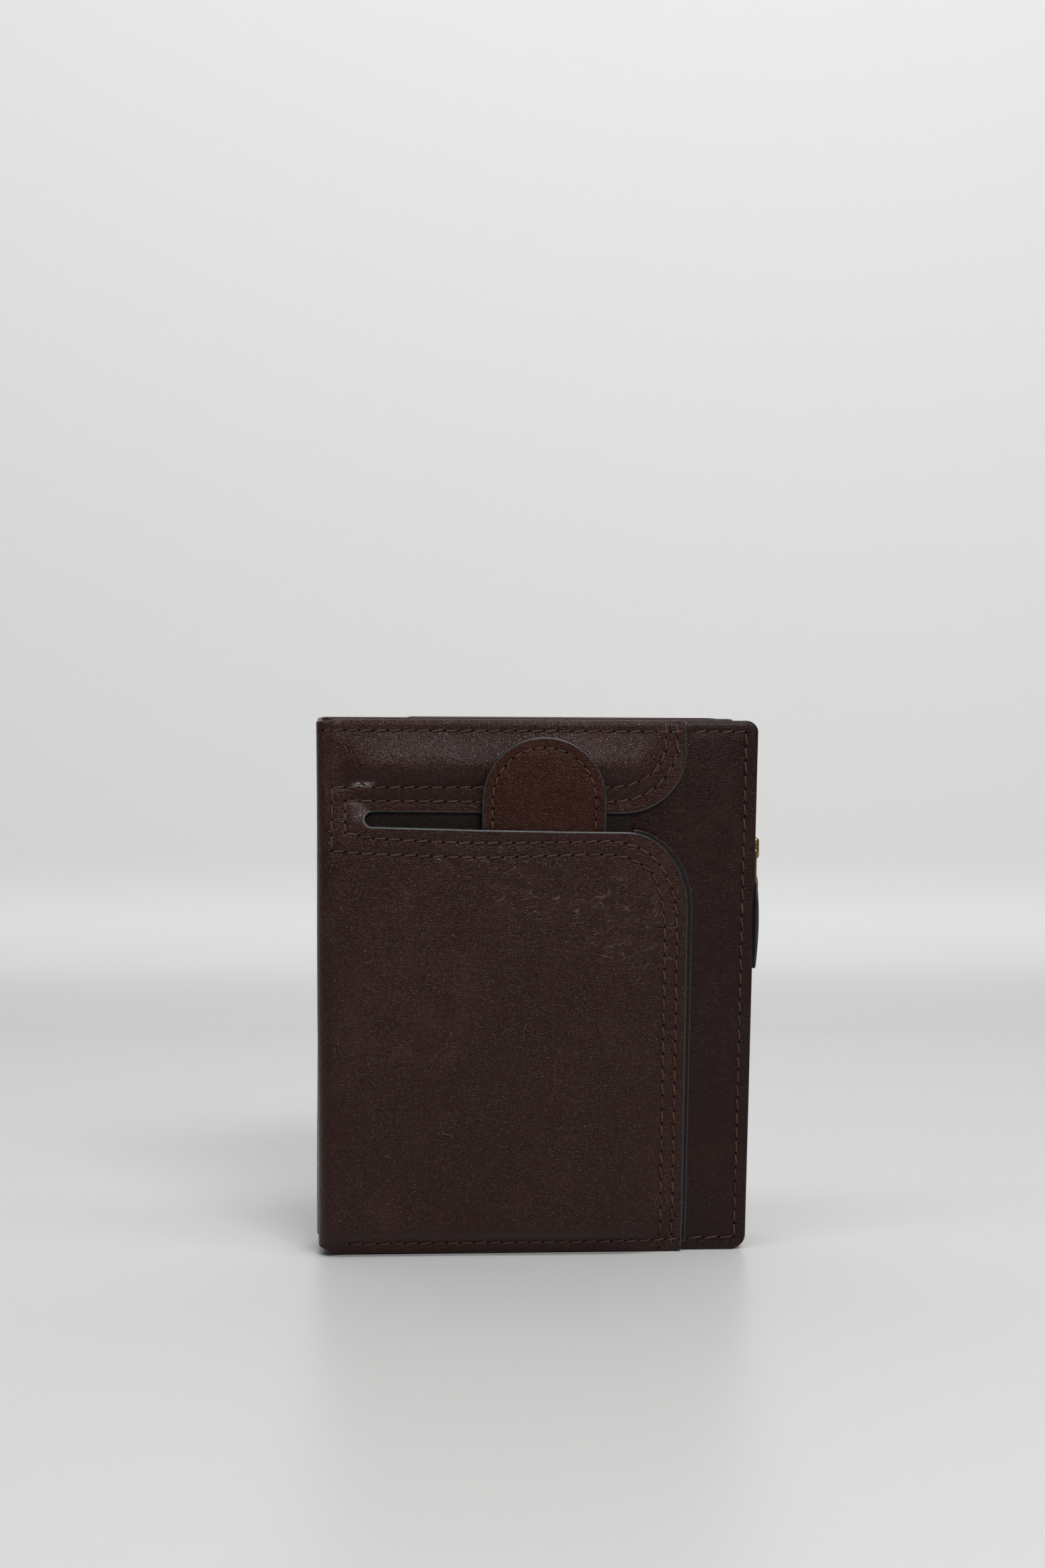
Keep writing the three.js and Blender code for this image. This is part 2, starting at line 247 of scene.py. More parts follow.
def sheet(name, surf, outline, mats, thick=1.1, step=0.9, rows=(), holes=(), rb=0.4, rim=0.55, cut=None, grids=None):
    """A leather sheet with rounded edges. mats: face leather, painted edge, inside face.
    cut(s, z) is True where the edge is cut and painted, and False where it is turned over."""
    loops = [np.array(outline, float)] + [np.array(h, float) for h in holes]
    area = sum(0.5 * np.sum(l[:, 0] * np.roll(l[:, 1], -1) - np.roll(l[:, 0], -1) * l[:, 1]) for l in loops[:1])
    if area < 0:
        loops[0] = loops[0][::-1]
    for i in range(1, len(loops)):
        l = loops[i]
        if 0.5 * np.sum(l[:, 0] * np.roll(l[:, 1], -1) - np.roll(l[:, 0], -1) * l[:, 1]) > 0:
            loops[i] = l[::-1]
    # (inset, depth share of the thickness)
    ring = [(0.0, 0.5)]
    for a in (30, 60, 90):
        r = math.radians(a)
        ring.append((rb * (1 - math.cos(r)), 0.5 * (1 - math.sin(r))))
    front_rings = ring + [(rim, 0.0), (rim + 0.45, 0.0)]
    V, R, F, I = [], [], [], []
    n0 = 0

    def put(p, depth):
        nonlocal n0
        V.append(surf.pos(p, -depth * thick))
        R.append(np.stack([p[:, 0], 0 * p[:, 0] - depth * thick, p[:, 1]], 1))
        n0 += len(p)
        return n0 - len(p)

    inner_front, inner_back, inner_pts = [], [], []
    for l in loops:
        m = len(l)
        is_cut = np.ones(m, bool) if cut is None else np.asarray(cut(l[:, 0], l[:, 1]), bool)
        base = put(l, 0.5)
        for side in (0, 1):
            prev = base
            for k, (d, q) in enumerate(front_rings[1:], 1):
                cur = put(inset(l, d), q if side == 0 else 1 - q)
                for j in range(m):
                    j2 = (j + 1) % m
                    f = (prev + j, prev + j2, cur + j2, cur + j)
                    F.append(f if side == 0 else f[::-1])
                    if k <= 4:
                        I.append(1 if is_cut[j] else 0)
                    else:
                        I.append(0 if side == 0 else 2)
                prev = cur
            (inner_front if side == 0 else inner_back).append(prev)
        inner_pts.append(inset(l, rim + 0.45))
    # interior points
    lo = np.min(inner_pts[0], 0)
    hi = np.max(inner_pts[0], 0)
    cand = []
    for x0, x1, st in grids or [(lo[0], hi[0], step)]:
        x0, x1 = max(x0, lo[0]), min(x1, hi[0])
        if x1 <= x0:
            continue
        zs = np.arange(lo[1] + st * 0.5, hi[1], st * 0.87)
        for k, z in enumerate(zs):
            xs = np.arange(x0 + (0.5 * st if k % 2 else 0.0), x1, st)
            cand.append(np.stack([xs, 0 * xs + z, 0 * xs + st], 1))
    cand = np.concatenate(cand)
    ok = inside(cand[:, :2], inner_pts)
    cand = cand[ok]
    closed = [np.concatenate([q, q[:1]]) for q in inner_pts]
    cand = cand[dist_to(cand[:, :2], closed) > 0.6 * cand[:, 2]]
    rows = list(rows)
    extra = []
    if rows:
        cand = cand[dist_to(cand[:, :2], rows) > 1.25]
        for r in rows:
            c = along(r, 0.8)
            if len(c) < 2:
                continue
            t = np.gradient(c, axis=0)
            t /= np.maximum(np.linalg.norm(t, axis=1)[:, None], 1e-9)
            n = np.stack([-t[:, 1], t[:, 0]], 1)
            for off in (0, 0.42, -0.42, 0.95, -0.95):
                extra.append(c + n * off)
        ex = np.concatenate(extra)
        ex = ex[inside(ex, inner_pts)]
        ex = ex[dist_to(ex, closed) > 0.3]
        # drop points that nearly coincide
        key = np.round(ex / 0.3).astype(int)
        _, u = np.unique(key, axis=0, return_index=True)
        pts = np.concatenate([cand[:, :2], ex[np.sort(u)]])
    else:
        pts = cand[:, :2]
    allp = np.concatenate([*inner_pts, pts])
    edges, c0 = [], 0
    for q in inner_pts:
        m = len(q)
        edges += [(c0 + j, c0 + (j + 1) % m) for j in range(m)]
        c0 += m
    nb = c0
    out = geometry.delaunay_2d_cdt([Vector(p) for p in allp], edges, [], 0, 1e-7, True)
    vo = np.array([tuple(v) for v in out[0]])
    tri = np.array([f for f in out[2] if len(f) == 3])
    orig = [o[0] if len(o) else -1 for o in out[3]]
    cen = vo[tri].mean(1)
    o_arr = np.array(orig)
    need = (o_arr[tri] < nb).all(1)
    keep = np.ones(len(tri), bool)
    keep[need] = inside(cen[need], inner_pts)
    tri = tri[keep]
    a2 = np.cross(vo[tri[:, 1]] - vo[tri[:, 0]], vo[tri[:, 2]] - vo[tri[:, 0]])
    tri = tri[np.abs(a2) > 1e-9]
    a2 = a2[np.abs(a2) > 1e-9]
    tri[a2 < 0] = tri[a2 < 0][:, ::-1]
    for side in (0, 1):
        starts = inner_front if side == 0 else inner_back
        vid = np.zeros(len(vo), int)
        offs, c0 = [], 0
        for q, st in zip(inner_pts, starts):
            offs.append((c0, c0 + len(q), st))
            c0 += len(q)
        free = [i for i in range(len(vo)) if not 0 <= orig[i] < nb]
        st = put(vo[free], 0.0 if side == 0 else 1.0) if free else n0
        vid[free] = st + np.arange(len(free))
        for i in range(len(vo)):
            if 0 <= orig[i] < nb:
                for a, b, s0 in offs:
                    if a <= orig[i] < b:
                        vid[i] = s0 + orig[i] - a
        t = vid[tri]
        if side:
            t = t[:, ::-1]
        F += [tuple(int(x) for x in f) for f in t]
        I += [0 if side == 0 else 2] * len(t)
    return make_object(name, np.concatenate(V), F, mats, I, np.concatenate(R))


def stitches(name, items, thread, hole):
    """items: list of (surf, polyline, pitch). Makes slanted thread stitches and, between them, near-black discs at the
    needle holes, which are painted shade for the holes.
    """
    V, R, F, I = [], [], [], []
    n0 = 0
    prof = [(-1.0, -0.28, 0.5), (-0.86, 0.02, 0.8), (-0.5, 0.12, 1.0), (0.0, 0.16, 1.06), (0.5, 0.12, 1.0), (0.86, 0.02, 0.8), (1.0, -0.28, 0.5)]
    K = 8
    for it in items:
        surf, poly, pitch = it[:3]
        slant = it[3] if len(it) > 3 else 9.0
        c = along(poly, pitch)
        if len(c) < 2:
            continue
        mid = (c[:-1] + c[1:]) / 2
        d = c[1:] - c[:-1]
        L = np.linalg.norm(d, axis=1)
        u = d / L[:, None]
        jit = RNG.normal(0, 2.2, len(mid))
        a = np.radians(slant + jit)
        ds, dz, n = surf.axes(mid)
        u2 = np.stack([u[:, 0] * np.cos(a) - u[:, 1] * np.sin(a), u[:, 0] * np.sin(a) + u[:, 1] * np.cos(a)], 1)
        w = 0.165 * (1 + RNG.normal(0, 0.14, len(mid)))
        half = L / 2 - 0.24
        for i in range(len(mid)):
            pts2 = np.array([mid[i] + u2[i] * half[i] * t for t, _, _ in prof])
            P = surf.pos(pts2) + n[i] * np.array([[q[1]] for q in prof])
            side = np.cross(n[i], P[-1] - P[0])
            side /= np.linalg.norm(side)
            for k, (t, _, r) in enumerate(prof):
                for j in range(K):
                    b = 2 * math.pi * j / K
                    V.append(P[k] + side * math.cos(b) * w[i] * r + n[i] * math.sin(b) * 0.16 * r)
                    R.append((t * half[i], j / K, i * 0.37 % 1.0))
            for k in range(len(prof) - 1):
                for j in range(K):
                    j2 = (j + 1) % K
                    a0 = n0 + k * K
                    F.append((a0 + j, a0 + j2, a0 + K + j2, a0 + K + j))
                    I.append(0)
            F.append(tuple(n0 + j for j in reversed(range(K))))
            F.append(tuple(n0 + (len(prof) - 1) * K + j for j in range(K)))
            I += [0, 0]
            n0 += K * len(prof)
        # near-black disc over each needle hole: painted shade standing in for the shadowed hole
        ds, dz, n = surf.axes(c)
        for i in range(len(c)):
            r = 0.29 * (1 + RNG.normal(0, 0.1))
            p0 = surf.pos(c[i : i + 1])[0]
            V.append(p0 + n[i] * 0.055)
            R.append((0, 0, 0))
            for j in range(9):
                b = 2 * math.pi * j / 9
                V.append(p0 + n[i] * 0.045 + ds[i] * math.cos(b) * r * 1.1 + dz[i] * math.sin(b) * r)
                R.append((0, 0, 0))
            for j in range(9):
                F.append((n0, n0 + 1 + j, n0 + 1 + (j + 1) % 9))
                I.append(1)
            n0 += 10
    return make_object(name, np.array(V), F, [thread, hole], I, np.array(R, float))


# ------------------------------------------------------------------ materials
class Tree:
    def __init__(self, name, coord="rest"):
        self.m = bpy.data.materials.new(name)
        self.m.use_nodes = True
        self.t = self.m.node_tree
        self.t.nodes.clear()
        self.out = self.t.nodes.new("ShaderNodeOutputMaterial")
        self.b = self.t.nodes.new("ShaderNodeBsdfPrincipled")
        self.t.links.new(self.b.outputs[0], self.out.inputs[0])
        if coord == "rest":
            a = self.t.nodes.new("ShaderNodeAttribute")
            a.attribute_type = "GEOMETRY"
            a.attribute_name = "rest"
            self.co = a.outputs["Vector"]
        else:
            c = self.t.nodes.new("ShaderNodeTexCoord")
            v = self.t.nodes.new("ShaderNodeVectorMath")
            v.operation = "SCALE"
            v.inputs["Scale"].default_value = 1000.0
            self.t.links.new(c.outputs["Object"], v.inputs[0])
            self.co = v.outputs[0]

    def node(self, kind, **kw):
        n = self.t.nodes.new(kind)
        for k, v in kw.items():
            setattr(n, k, v)
        return n

    def link(self, a, b):
        self.t.links.new(a, b)

    def feed(self, sock, v):
        if isinstance(v, bpy.types.NodeSocket):
            self.link(v, sock)
        else:
            sock.default_value = v

    def math(self, op, a, b=0.0, c=None, clamp=False):
        n = self.node("ShaderNodeMath", operation=op, use_clamp=clamp)
        self.feed(n.inputs[0], a)
        self.feed(n.inputs[1], b)
        if c is not None:
            self.feed(n.inputs[2], c)
        return n.outputs[0]

    def noise(self, scale, detail=3.0, rough=0.55, dist=0.0, co=None, out="Fac"):
        n = self.node("ShaderNodeTexNoise")
        self.link(co or self.co, n.inputs["Vector"])
        n.inputs["Scale"].default_value = scale
        n.inputs["Detail"].default_value = detail
        n.inputs["Roughness"].default_value = rough
        n.inputs["Distortion"].default_value = dist
        return n.outputs[out]

    def voronoi(self, scale, feature="F1", co=None, randomness=1.0, out="Distance", smooth=0.5):
        n = self.node("ShaderNodeTexVoronoi", feature=feature)
        self.link(co or self.co, n.inputs["Vector"])
        n.inputs["Scale"].default_value = scale
        n.inputs["Randomness"].default_value = randomness
        if feature == "SMOOTH_F1":
            n.inputs["Smoothness"].default_value = smooth
        return n.outputs[out]

    def remap(self, v, a, b, c=0.0, d=1.0, smooth=True):
        n = self.node("ShaderNodeMapRange", interpolation_type="SMOOTHSTEP" if smooth else "LINEAR")
        self.feed(n.inputs["Value"], v)
        for k, x in zip(("From Min", "From Max", "To Min", "To Max"), (a, b, c, d)):
            n.inputs[k].default_value = x
        return n.outputs[0]

    def mix(self, fac, a, b, blend="MIX"):
        n = self.node("ShaderNodeMix", data_type="RGBA", blend_type=blend)
        self.feed(n.inputs[0], fac)
        for sock, v in ((n.inputs[6], a), (n.inputs[7], b)):
            if isinstance(v, bpy.types.NodeSocket):
                self.link(v, sock)
            else:
                sock.default_value = (*v, 1.0)
        return n.outputs[2]

    def xyz(self, co=None):
        n = self.node("ShaderNodeSeparateXYZ")
        self.link(co or self.co, n.inputs[0])
        return n.outputs

    def warp(self, scale, amount, co=None):
        """Coordinates pushed about by a noise, in mm."""
        n = self.node("ShaderNodeTexNoise")
        self.link(co or self.co, n.inputs["Vector"])
        n.inputs["Scale"].default_value = scale
        n.inputs["Detail"].default_value = 2.0
        sub = self.node("ShaderNodeVectorMath", operation="SUBTRACT")
        self.link(n.outputs["Color"], sub.inputs[0])
        sub.inputs[1].default_value = (0.5, 0.5, 0.5)
        sc = self.node("ShaderNodeVectorMath", operation="SCALE")
        self.link(sub.outputs[0], sc.inputs[0])
        sc.inputs["Scale"].default_value = amount
        add = self.node("ShaderNodeVectorMath", operation="ADD")
        self.link(co or self.co, add.inputs[0])
        self.link(sc.outputs[0], add.inputs[1])
        return add.outputs[0]

    def stretch(self, v, co=None):
        n = self.node("ShaderNodeMapping")
        self.link(co or self.co, n.inputs["Vector"])
        n.inputs["Scale"].default_value = v
        return n.outputs[0]

    def bump(self, height, dist_mm, normal=None, strength=1.0):
        n = self.node("ShaderNodeBump")
        n.inputs["Strength"].default_value = strength
        n.inputs["Distance"].default_value = dist_mm / 1000.0
        self.link(height, n.inputs["Height"])
        if normal is not None:
            self.link(normal, n.inputs["Normal"])
        return n.outputs[0]

    def set(self, **kw):
        for k, v in kw.items():
            self.feed(self.b.inputs[k.replace("_", " ")], v)
        return self.m


def leather(name, base, deep, warm, coord="rest", rough=0.29, grain=1.0, creases=False, coat=0.05, mottle=0.5, spec=0.24):
    t = Tree(name, coord)
    co = t.co
    wide = t.noise(0.028, 3, 0.6, 0.6)
    mid = t.noise(0.16, 4, 0.6, 0.3)
    fine = t.noise(1.1, 3, 0.6)
    # colour: deep brown pulled up to a warmer tone in worn patches
    patch = t.math("MULTIPLY", t.remap(wide, 0.42, 0.66), t.remap(mid, 0.34, 0.72))
    col = t.mix(t.math("MULTIPLY", patch, mottle), base, warm)
    col = t.mix(t.remap(fine, 0.36, 0.62, 0.5, 0.0), col, deep)
    # grain: pebbles with fine valleys between them
    wco = t.warp(0.9, 0.55)
    edge = t.voronoi(1.75, "DISTANCE_TO_EDGE", wco)
    pebble = t.remap(edge, 0.0, 0.22)
    small = t.voronoi(3.6, "SMOOTH_F1", wco)
    height = t.math("ADD", t.math("MULTIPLY", pebble, 0.7), t.math("MULTIPLY", small, -0.35))
    height = t.math("ADD", height, t.math("MULTIPLY", t.noise(0.9, 4, 0.65), 0.9))
    # painted shade: the colour runs towards deep in the valleys between the pebbles
    col = t.mix(t.remap(edge, 0.0, 0.14, 0.14, 0.0), col, deep)
    rgh = t.math("ADD", t.remap(mid, 0.3, 0.7, rough - 0.05, rough + 0.07), t.remap(fine, 0.3, 0.7, -0.03, 0.04))
    amount = t.remap(t.noise(0.05, 2, 0.5), 0.3, 0.7, 0.55, 1.0)
    n = t.bump(t.math("MULTIPLY", height, amount), 0.125 * grain)
    # long shallow wrinkles
    lw = t.noise(0.33, 4, 0.62, 1.4, co=t.stretch((0.45, 1.0, 1.0), t.warp(0.12, 3.0)))
    n = t.bump(lw, 0.30, n, 0.55)
    if creases:
        x, y, z = t.xyz()
        # the padded swell of the strip above the slit
        pz = t.math("MULTIPLY", t.remap(z, 100.5, 109.6), t.remap(z, 108.4, 117.5, 1.0, 0.0))
        px = t.math("MULTIPLY", t.remap(x, -48.0, -37.0), t.remap(x, 21.0, 29.5, 1.0, 0.0))
        n = t.bump(t.math("MULTIPLY", pz, px), 2.10, n)
        # band of fine creases that runs down to the right across the lower lobe
        v = t.math("ADD", t.math("SUBTRACT", z, 83.0), t.math("MULTIPLY", x, 0.42))
        av = t.math("ABSOLUTE", v)
        band = t.math("MULTIPLY", t.remap(av, 3.0, 15.0, 1.0, 0.0), t.remap(x, -27.0, -8.0))
        band = t.math("MULTIPLY", band, t.remap(x, 28.5, 34.0, 1.0, 0.0))
        band = t.math("MULTIPLY", band, t.remap(z, 91.0, 94.0, 1.0, 0.0))
        cw = t.warp(0.20, 3.0)

        def flow(deg, across, along_, levels, width, seed):
            r = t.node("ShaderNodeMapping")
            t.link(cw, r.inputs["Vector"])
            r.inputs["Rotation"].default_value = (0, math.radians(deg), 0)
            r.inputs["Location"].default_value = (seed, seed * 0.3, 0)
            q = t.node("ShaderNodeMapping")
            t.link(r.outputs[0], q.inputs["Vector"])
            q.inputs["Scale"].default_value = (along_, 0.1, across)
            k = t.noise(1.0, 1.5, 0.5, 0.35, co=q.outputs[0])
            f = t.math("FRACT", t.math("MULTIPLY", k, levels))
            d = t.math("ABSOLUTE", t.math("SUBTRACT", f, 0.5))
            return t.remap(d, 0.0, width, 1.0, 0.0)

        l1 = flow(22, 0.34, 0.085, 9.0, 0.10, 3.0)
        l2 = flow(36, 0.46, 0.12, 8.0, 0.09, 17.0)
        l3 = flow(-18, 0.60, 0.20, 7.0, 0.08, 41.0)
        b1 = t.remap(t.noise(0.28, 3, 0.6), 0.44, 0.58)
        b2 = t.remap(t.noise(0.40, 3, 0.6, co=t.stretch((1, 1, 1.3))), 0.50, 0.62)
        b3 = t.remap(t.noise(0.55, 3, 0.6), 0.53, 0.63)
        lines = t.math("MAXIMUM", t.math("MULTIPLY", l1, b1), t.math("MAXIMUM", t.math("MULTIPLY", l2, b2), t.math("MULTIPLY", l3, b3)))
        lines = t.math("MULTIPLY", lines, band)
        n = t.bump(t.math("MULTIPLY", lines, -1.0), 0.12, n)
        col = t.mix(t.math("MULTIPLY", lines, 0.60), col, (0.150, 0.090, 0.066))
        # a few pale scuffs and specks
        sp = t.voronoi(0.11, "F1")
        col = t.mix(t.remap(sp, 0.012, 0.022, 0.75, 0.0), col, (0.35, 0.32, 0.30))
        dx = t.math("ABSOLUTE", t.math("ADD", x, 39.0))
        dz = t.math("ABSOLUTE", t.math("SUBTRACT", z, 105.1))
        spot = t.math("MULTIPLY", t.remap(dx, 0.5, 3.2, 1.0, 0.0), t.remap(dz, 0.2, 1.0, 1.0, 0.0))
        scr = t.remap(t.noise(1.5, 4, 0.7, 1.0, co=t.stretch((0.45, 1, 1.6))), 0.44, 0.56)
        col = t.mix(t.math("MULTIPLY", spot, scr), col, (0.42, 0.38, 0.36))
    m = t.set(Base_Color=col, Roughness=rgh, Normal=n, Specular_IOR_Level=spec, Coat_Weight=coat, Coat_Roughness=0.24, IOR=1.48)
    return m


def edge_paint(name="edge_paint"):
    t = Tree(name)
    n1 = t.noise(0.8, 3, 0.6)
    col = t.mix(t.remap(n1, 0.35, 0.65), (0.010, 0.0095, 0.009), (0.020, 0.019, 0.0175))
    return t.set(
        Base_Color=col, Roughness=t.remap(n1, 0.3, 0.7, 0.34, 0.5), Normal=t.bump(t.noise(1.4, 3, 0.5), 0.06), Specular_IOR_Level=0.55, Coat_Weight=0.15, Coat_Roughness=0.3
    )


def thread_mat():
    t = Tree("waxed_thread")
    x, y, z = t.xyz()
    w = t.math("SINE", t.math("ADD", t.math("MULTIPLY", x, 13.0), t.math("MULTIPLY", y, 12.566)))
    # darker in the grooves of the ply twist and lighter on its crests: painted shade and highlight
    col = t.mix(t.remap(w, -1, 1), (0.036, 0.0140, 0.0070), (0.118, 0.050, 0.025))
    col = t.mix(t.remap(z, 0.0, 1.0, 0.0, 0.35), col, (0.085, 0.037, 0.019))
    return t.set(Base_Color=col, Roughness=0.55, Normal=t.bump(w, 0.05), Specular_IOR_Level=0.4, Sheen_Weight=0.1)


def needle_hole_shade_mat():
    # near-black colour for the needle-hole discs: painted shade of the holes
    t = Tree("needle_hole_shade")
    col = t.mix(t.noise(3.0), (0.0025, 0.0018, 0.0015), (0.006, 0.004, 0.003))
    return t.set(Base_Color=col, Roughness=0.95, Specular_IOR_Level=0.05)


def suede(name, a, b, coord="rest"):
    t = Tree(name, coord)
    f = t.noise(1.8, 5, 0.7)
    col = t.mix(t.remap(f, 0.3, 0.7), a, b)
    return t.set(Base_Color=col, Roughness=0.86, Normal=t.bump(f, 0.10), Specular_IOR_Level=0.25, Sheen_Weight=0.15, Sheen_Roughness=0.5)


def weave(name, a, b, coord="rest", pitch=0.5):
    t = Tree(name, coord)
    x, y, z = t.xyz()
    k = 2 * math.pi / pitch
    u = t.math("SINE", t.math("MULTIPLY", x, k))
    v = t.math("SINE", t.math("MULTIPLY", z, k))
    h = t.math("MULTIPLY", u, v)
    # lighter on the raised crossings of the weave and darker in its dips: painted shade and highlight
    col = t.mix(t.remap(h, -1, 1), a, b)
    col = t.mix(t.remap(t.noise(0.6, 3), 0.35, 0.7, 0.0, 0.5), col, a)
    return t.set(Base_Color=col, Roughness=0.82, Normal=t.bump(h, 0.05), Specular_IOR_Level=0.3)


def brass_mat(coord="rest"):
    t = Tree("aged_brass_" + coord, coord)
    f = t.noise(0.9, 4, 0.65)
    g = t.noise(5.0, 2, 0.6)
    col = t.mix(t.remap(f, 0.35, 0.7), (0.34, 0.23, 0.105), (0.15, 0.10, 0.05))
    return t.set(Base_Color=col, Metallic=1.0, Roughness=t.remap(g, 0.3, 0.7, 0.26, 0.44), Normal=t.bump(g, 0.02))


def film_mat():
    t = Tree("clear_film", "object")
    f = t.noise(0.08, 2, 0.5)
    return t.set(Base_Color=t.mix(f, (0.30, 0.31, 0.305), (0.40, 0.41, 0.40)), Roughness=t.remap(f, 0.3, 0.7, 0.08, 0.2), Alpha=0.14, IOR=1.46, Normal=t.bump(f, 0.35))


BASE, DEEP, WARM = (0.0300, 0.0078, 0.0045), (0.0105, 0.0031, 0.0022), (0.0640, 0.0220, 0.0100)
L_COVER = leather("brown_leather_cover", BASE, DEEP, WARM, creases=True, mottle=0.56, spec=0.23)
L_BASE = leather("brown_leather_strip", (0.0175, 0.0050, 0.0034), DEEP, (0.038, 0.0130, 0.0070), rough=0.38, spec=0.19, grain=0.75, mottle=0.5)
L_IN = leather("brown_leather_inside", (0.0330, 0.0110, 0.0072), DEEP, WARM, rough=0.5, grain=0.7)
L_TAB = leather("chestnut_leather_tab", (0.0350, 0.0070, 0.0024), (0.009, 0.0022, 0.0010), (0.078, 0.0220, 0.0060), spec=0.19, rough=0.32, grain=0.7, mottle=0.8)
# dark lining leather, darkened further as painted shade for the inside of the slit where it shows
L_LIN_SHADE = leather("lining_leather_painted_shade", (0.0125, 0.0070, 0.0055), (0.006, 0.0035, 0.003), (0.020, 0.011, 0.008), rough=0.62, grain=0.5, coat=0.0)
L_LIN_OBJ_SHADE = leather("lining_leather_flat_painted_shade", (0.0125, 0.0070, 0.0055), (0.006, 0.0035, 0.003), (0.020, 0.011, 0.008), coord="object", rough=0.62, grain=0.5, coat=0.0)
L_LEAF = leather("brown_leather_rear", (0.040, 0.0150, 0.0095), DEEP, (0.072, 0.030, 0.0165), rough=0.38, mottle=0.6)
L_COVER_BACK = leather("brown_leather_pocket", BASE, DEEP, WARM, mottle=0.6)
EDGE = edge_paint()
SUEDE = suede("leather_flesh_side", (0.030, 0.019, 0.013), (0.055, 0.034, 0.023))
THREAD, HOLE_SHADE = thread_mat(), needle_hole_shade_mat()
FABRIC = weave("lining_weave", (0.012, 0.010, 0.009), (0.030, 0.024, 0.021), "object")
TAPE = weave("zip_tape_weave", (0.010, 0.008, 0.007), (0.026, 0.021, 0.018), "object", 0.4)
BRASS, BRASS_OBJ = brass_mat(), brass_mat("object")
FILM = film_mat()

# ------------------------------------------------------------------ the continuous front and spine leather
YF, XSP, YREAR = 0.3, -49.5, 17.7
R1, R2 = 3.6, 3.2
SA = XSP + R1
Q1, ST, Q2 = math.pi * R1 / 2, (YREAR - R2) - (YF + R1), math.pi * R2 / 2
S_SP1, S_SP2, S_SP3 = SA - Q1, SA - Q1 - ST, SA - Q1 - ST - Q2
S_END = S_SP3 - (46.2 - (XSP + R2))


def plan_shell(s):
    s = np.asarray(s, float)
    x = np.where(s >= SA, s, 0.0)
    y = np.full_like(x, YF)
    nx, ny = np.zeros_like(x), np.full_like(x, -1.0)
    a = (SA - s) / R1
    m = (s < SA) & (s >= S_SP1)
    x = np.where(m, SA - R1 * np.sin(a), x)
    y = np.where(m, YF + R1 - R1 * np.cos(a), y)
    nx, ny = np.where(m, -np.sin(a), nx), np.where(m, -np.cos(a), ny)
    m = (s < S_SP1) & (s >= S_SP2)
    x, y = np.where(m, XSP, x), np.where(m, YF + R1 + (S_SP1 - s), y)
    nx, ny = np.where(m, -1.0, nx), np.where(m, 0.0, ny)
    a = (S_SP2 - s) / R2
    m = (s < S_SP2) & (s >= S_SP3)
    x = np.where(m, XSP + R2 - R2 * np.cos(a), x)
    y = np.where(m, YREAR - R2 + R2 * np.sin(a), y)
    nx, ny = np.where(m, -np.cos(a), nx), np.where(m, np.sin(a), ny)
    m = s < S_SP3
    x, y = np.where(m, XSP + R2 + (S_SP3 - s), x), np.where(m, YREAR, y)
    nx, ny = np.where(m, 0.0, nx), np.where(m, 1.0, ny)
    return x, y, nx, ny


def base_y(x, z):
    """Front face of the base panel: it swells a little beside the overlay's edge."""
    return 4.3 - 0.85 * S(20, 31, x) * (1 - S(33, 48, x)) * S(1, 12, z) * S(1, 12, COVER_H - z)


def undulate(x, z, a=0.10):
    return a * (np.sin(x * 0.11 + z * 0.05 + 0.6) + 0.7 * np.sin(z * 0.13 - x * 0.045 + 2.1) + 0.4 * np.sin(x * 0.24 + z * 0.19))


FOLDS = [
    (smooth_curve([(-25.0, 91.5), (-17.0, 87.0), (-8.0, 83.5), (4.0, 80.8), (15.0, 79.0), (26.0, 78.4)]), 0.20, 0.75),
    (smooth_curve([(-21.0, 88.0), (-12.0, 82.2), (-2.0, 78.0), (10.0, 74.4), (20.0, 72.4), (27.0, 71.8)]), 0.17, 0.65),
    (smooth_curve([(-12.0, 89.0), (-3.0, 85.4), (8.0, 83.4), (18.0, 82.6)]), 0.13, 0.55),
    (smooth_curve([(2.0, 72.5), (11.0, 69.0), (20.0, 67.0), (28.0, 66.4)]), 0.10, 0.6),
]


def lobes_y(x, z):
    by = base_y(x, z)
    right = 1 - S(0.0, 15.0, 34.0 - x)
    low = 1 - S(0.4, 6.4, z)
    target = np.minimum(by - 1.18, 3.1)
    k = right + low - right * low
    yl = 0.15 + (target - 0.15) * k
    # swelling of the lower lobe in the creased area and over the sleeve
    yl = yl - undulate(x, z, 0.07) * (1 - k) * S(-46, -36, x) - 0.05
    shp = np.shape(yl)
    q = np.stack([np.ravel(x + 0 * yl), np.ravel(z + 0 * yl)], 1)
    for fold_, dep, wid in FOLDS:
        d = dist_to(q, [fold_]).reshape(shp)
        yl = yl + dep * (np.exp(-((d / wid) ** 2)) - 0.55 * np.exp(-(((d - 1.7 * wid) / wid) ** 2)))
    puff = S(104.3, 108.2, z) * (1 - S(109.6, 117.2, z)) * S(-49, -38, x) * (1 - S(21, 30, x))
    puff = puff * (1 - 0.5 * np.exp(-(((x - 1.2) / 14.0) ** 4)))
    between = S(101.6, 103.0, z) * (1 - S(103.2, 104.4, z))
    yu = 3.0 - 0.36 * puff - 0.06 * between
    yu = np.minimum(yu, by - 1.12)
    w = 0.5 + 12.0 * np.exp(-np.maximum(x + 40.5, 0) / 3.0) + 15.0 * S(-40.0, -46.0, x)
    m = np.clip((z - 97.4) / w + 0.5, 0, 1)
    m = m * m * (3 - 2 * m)
    y = yl * (1 - m) + yu * m
    # the turned edges roll back at the top and foot
    return y + 0.5 * (1 - S(0.0, 1.9, COVER_H - z)) + 0.35 * (1 - S(0.0, 1.2, z))


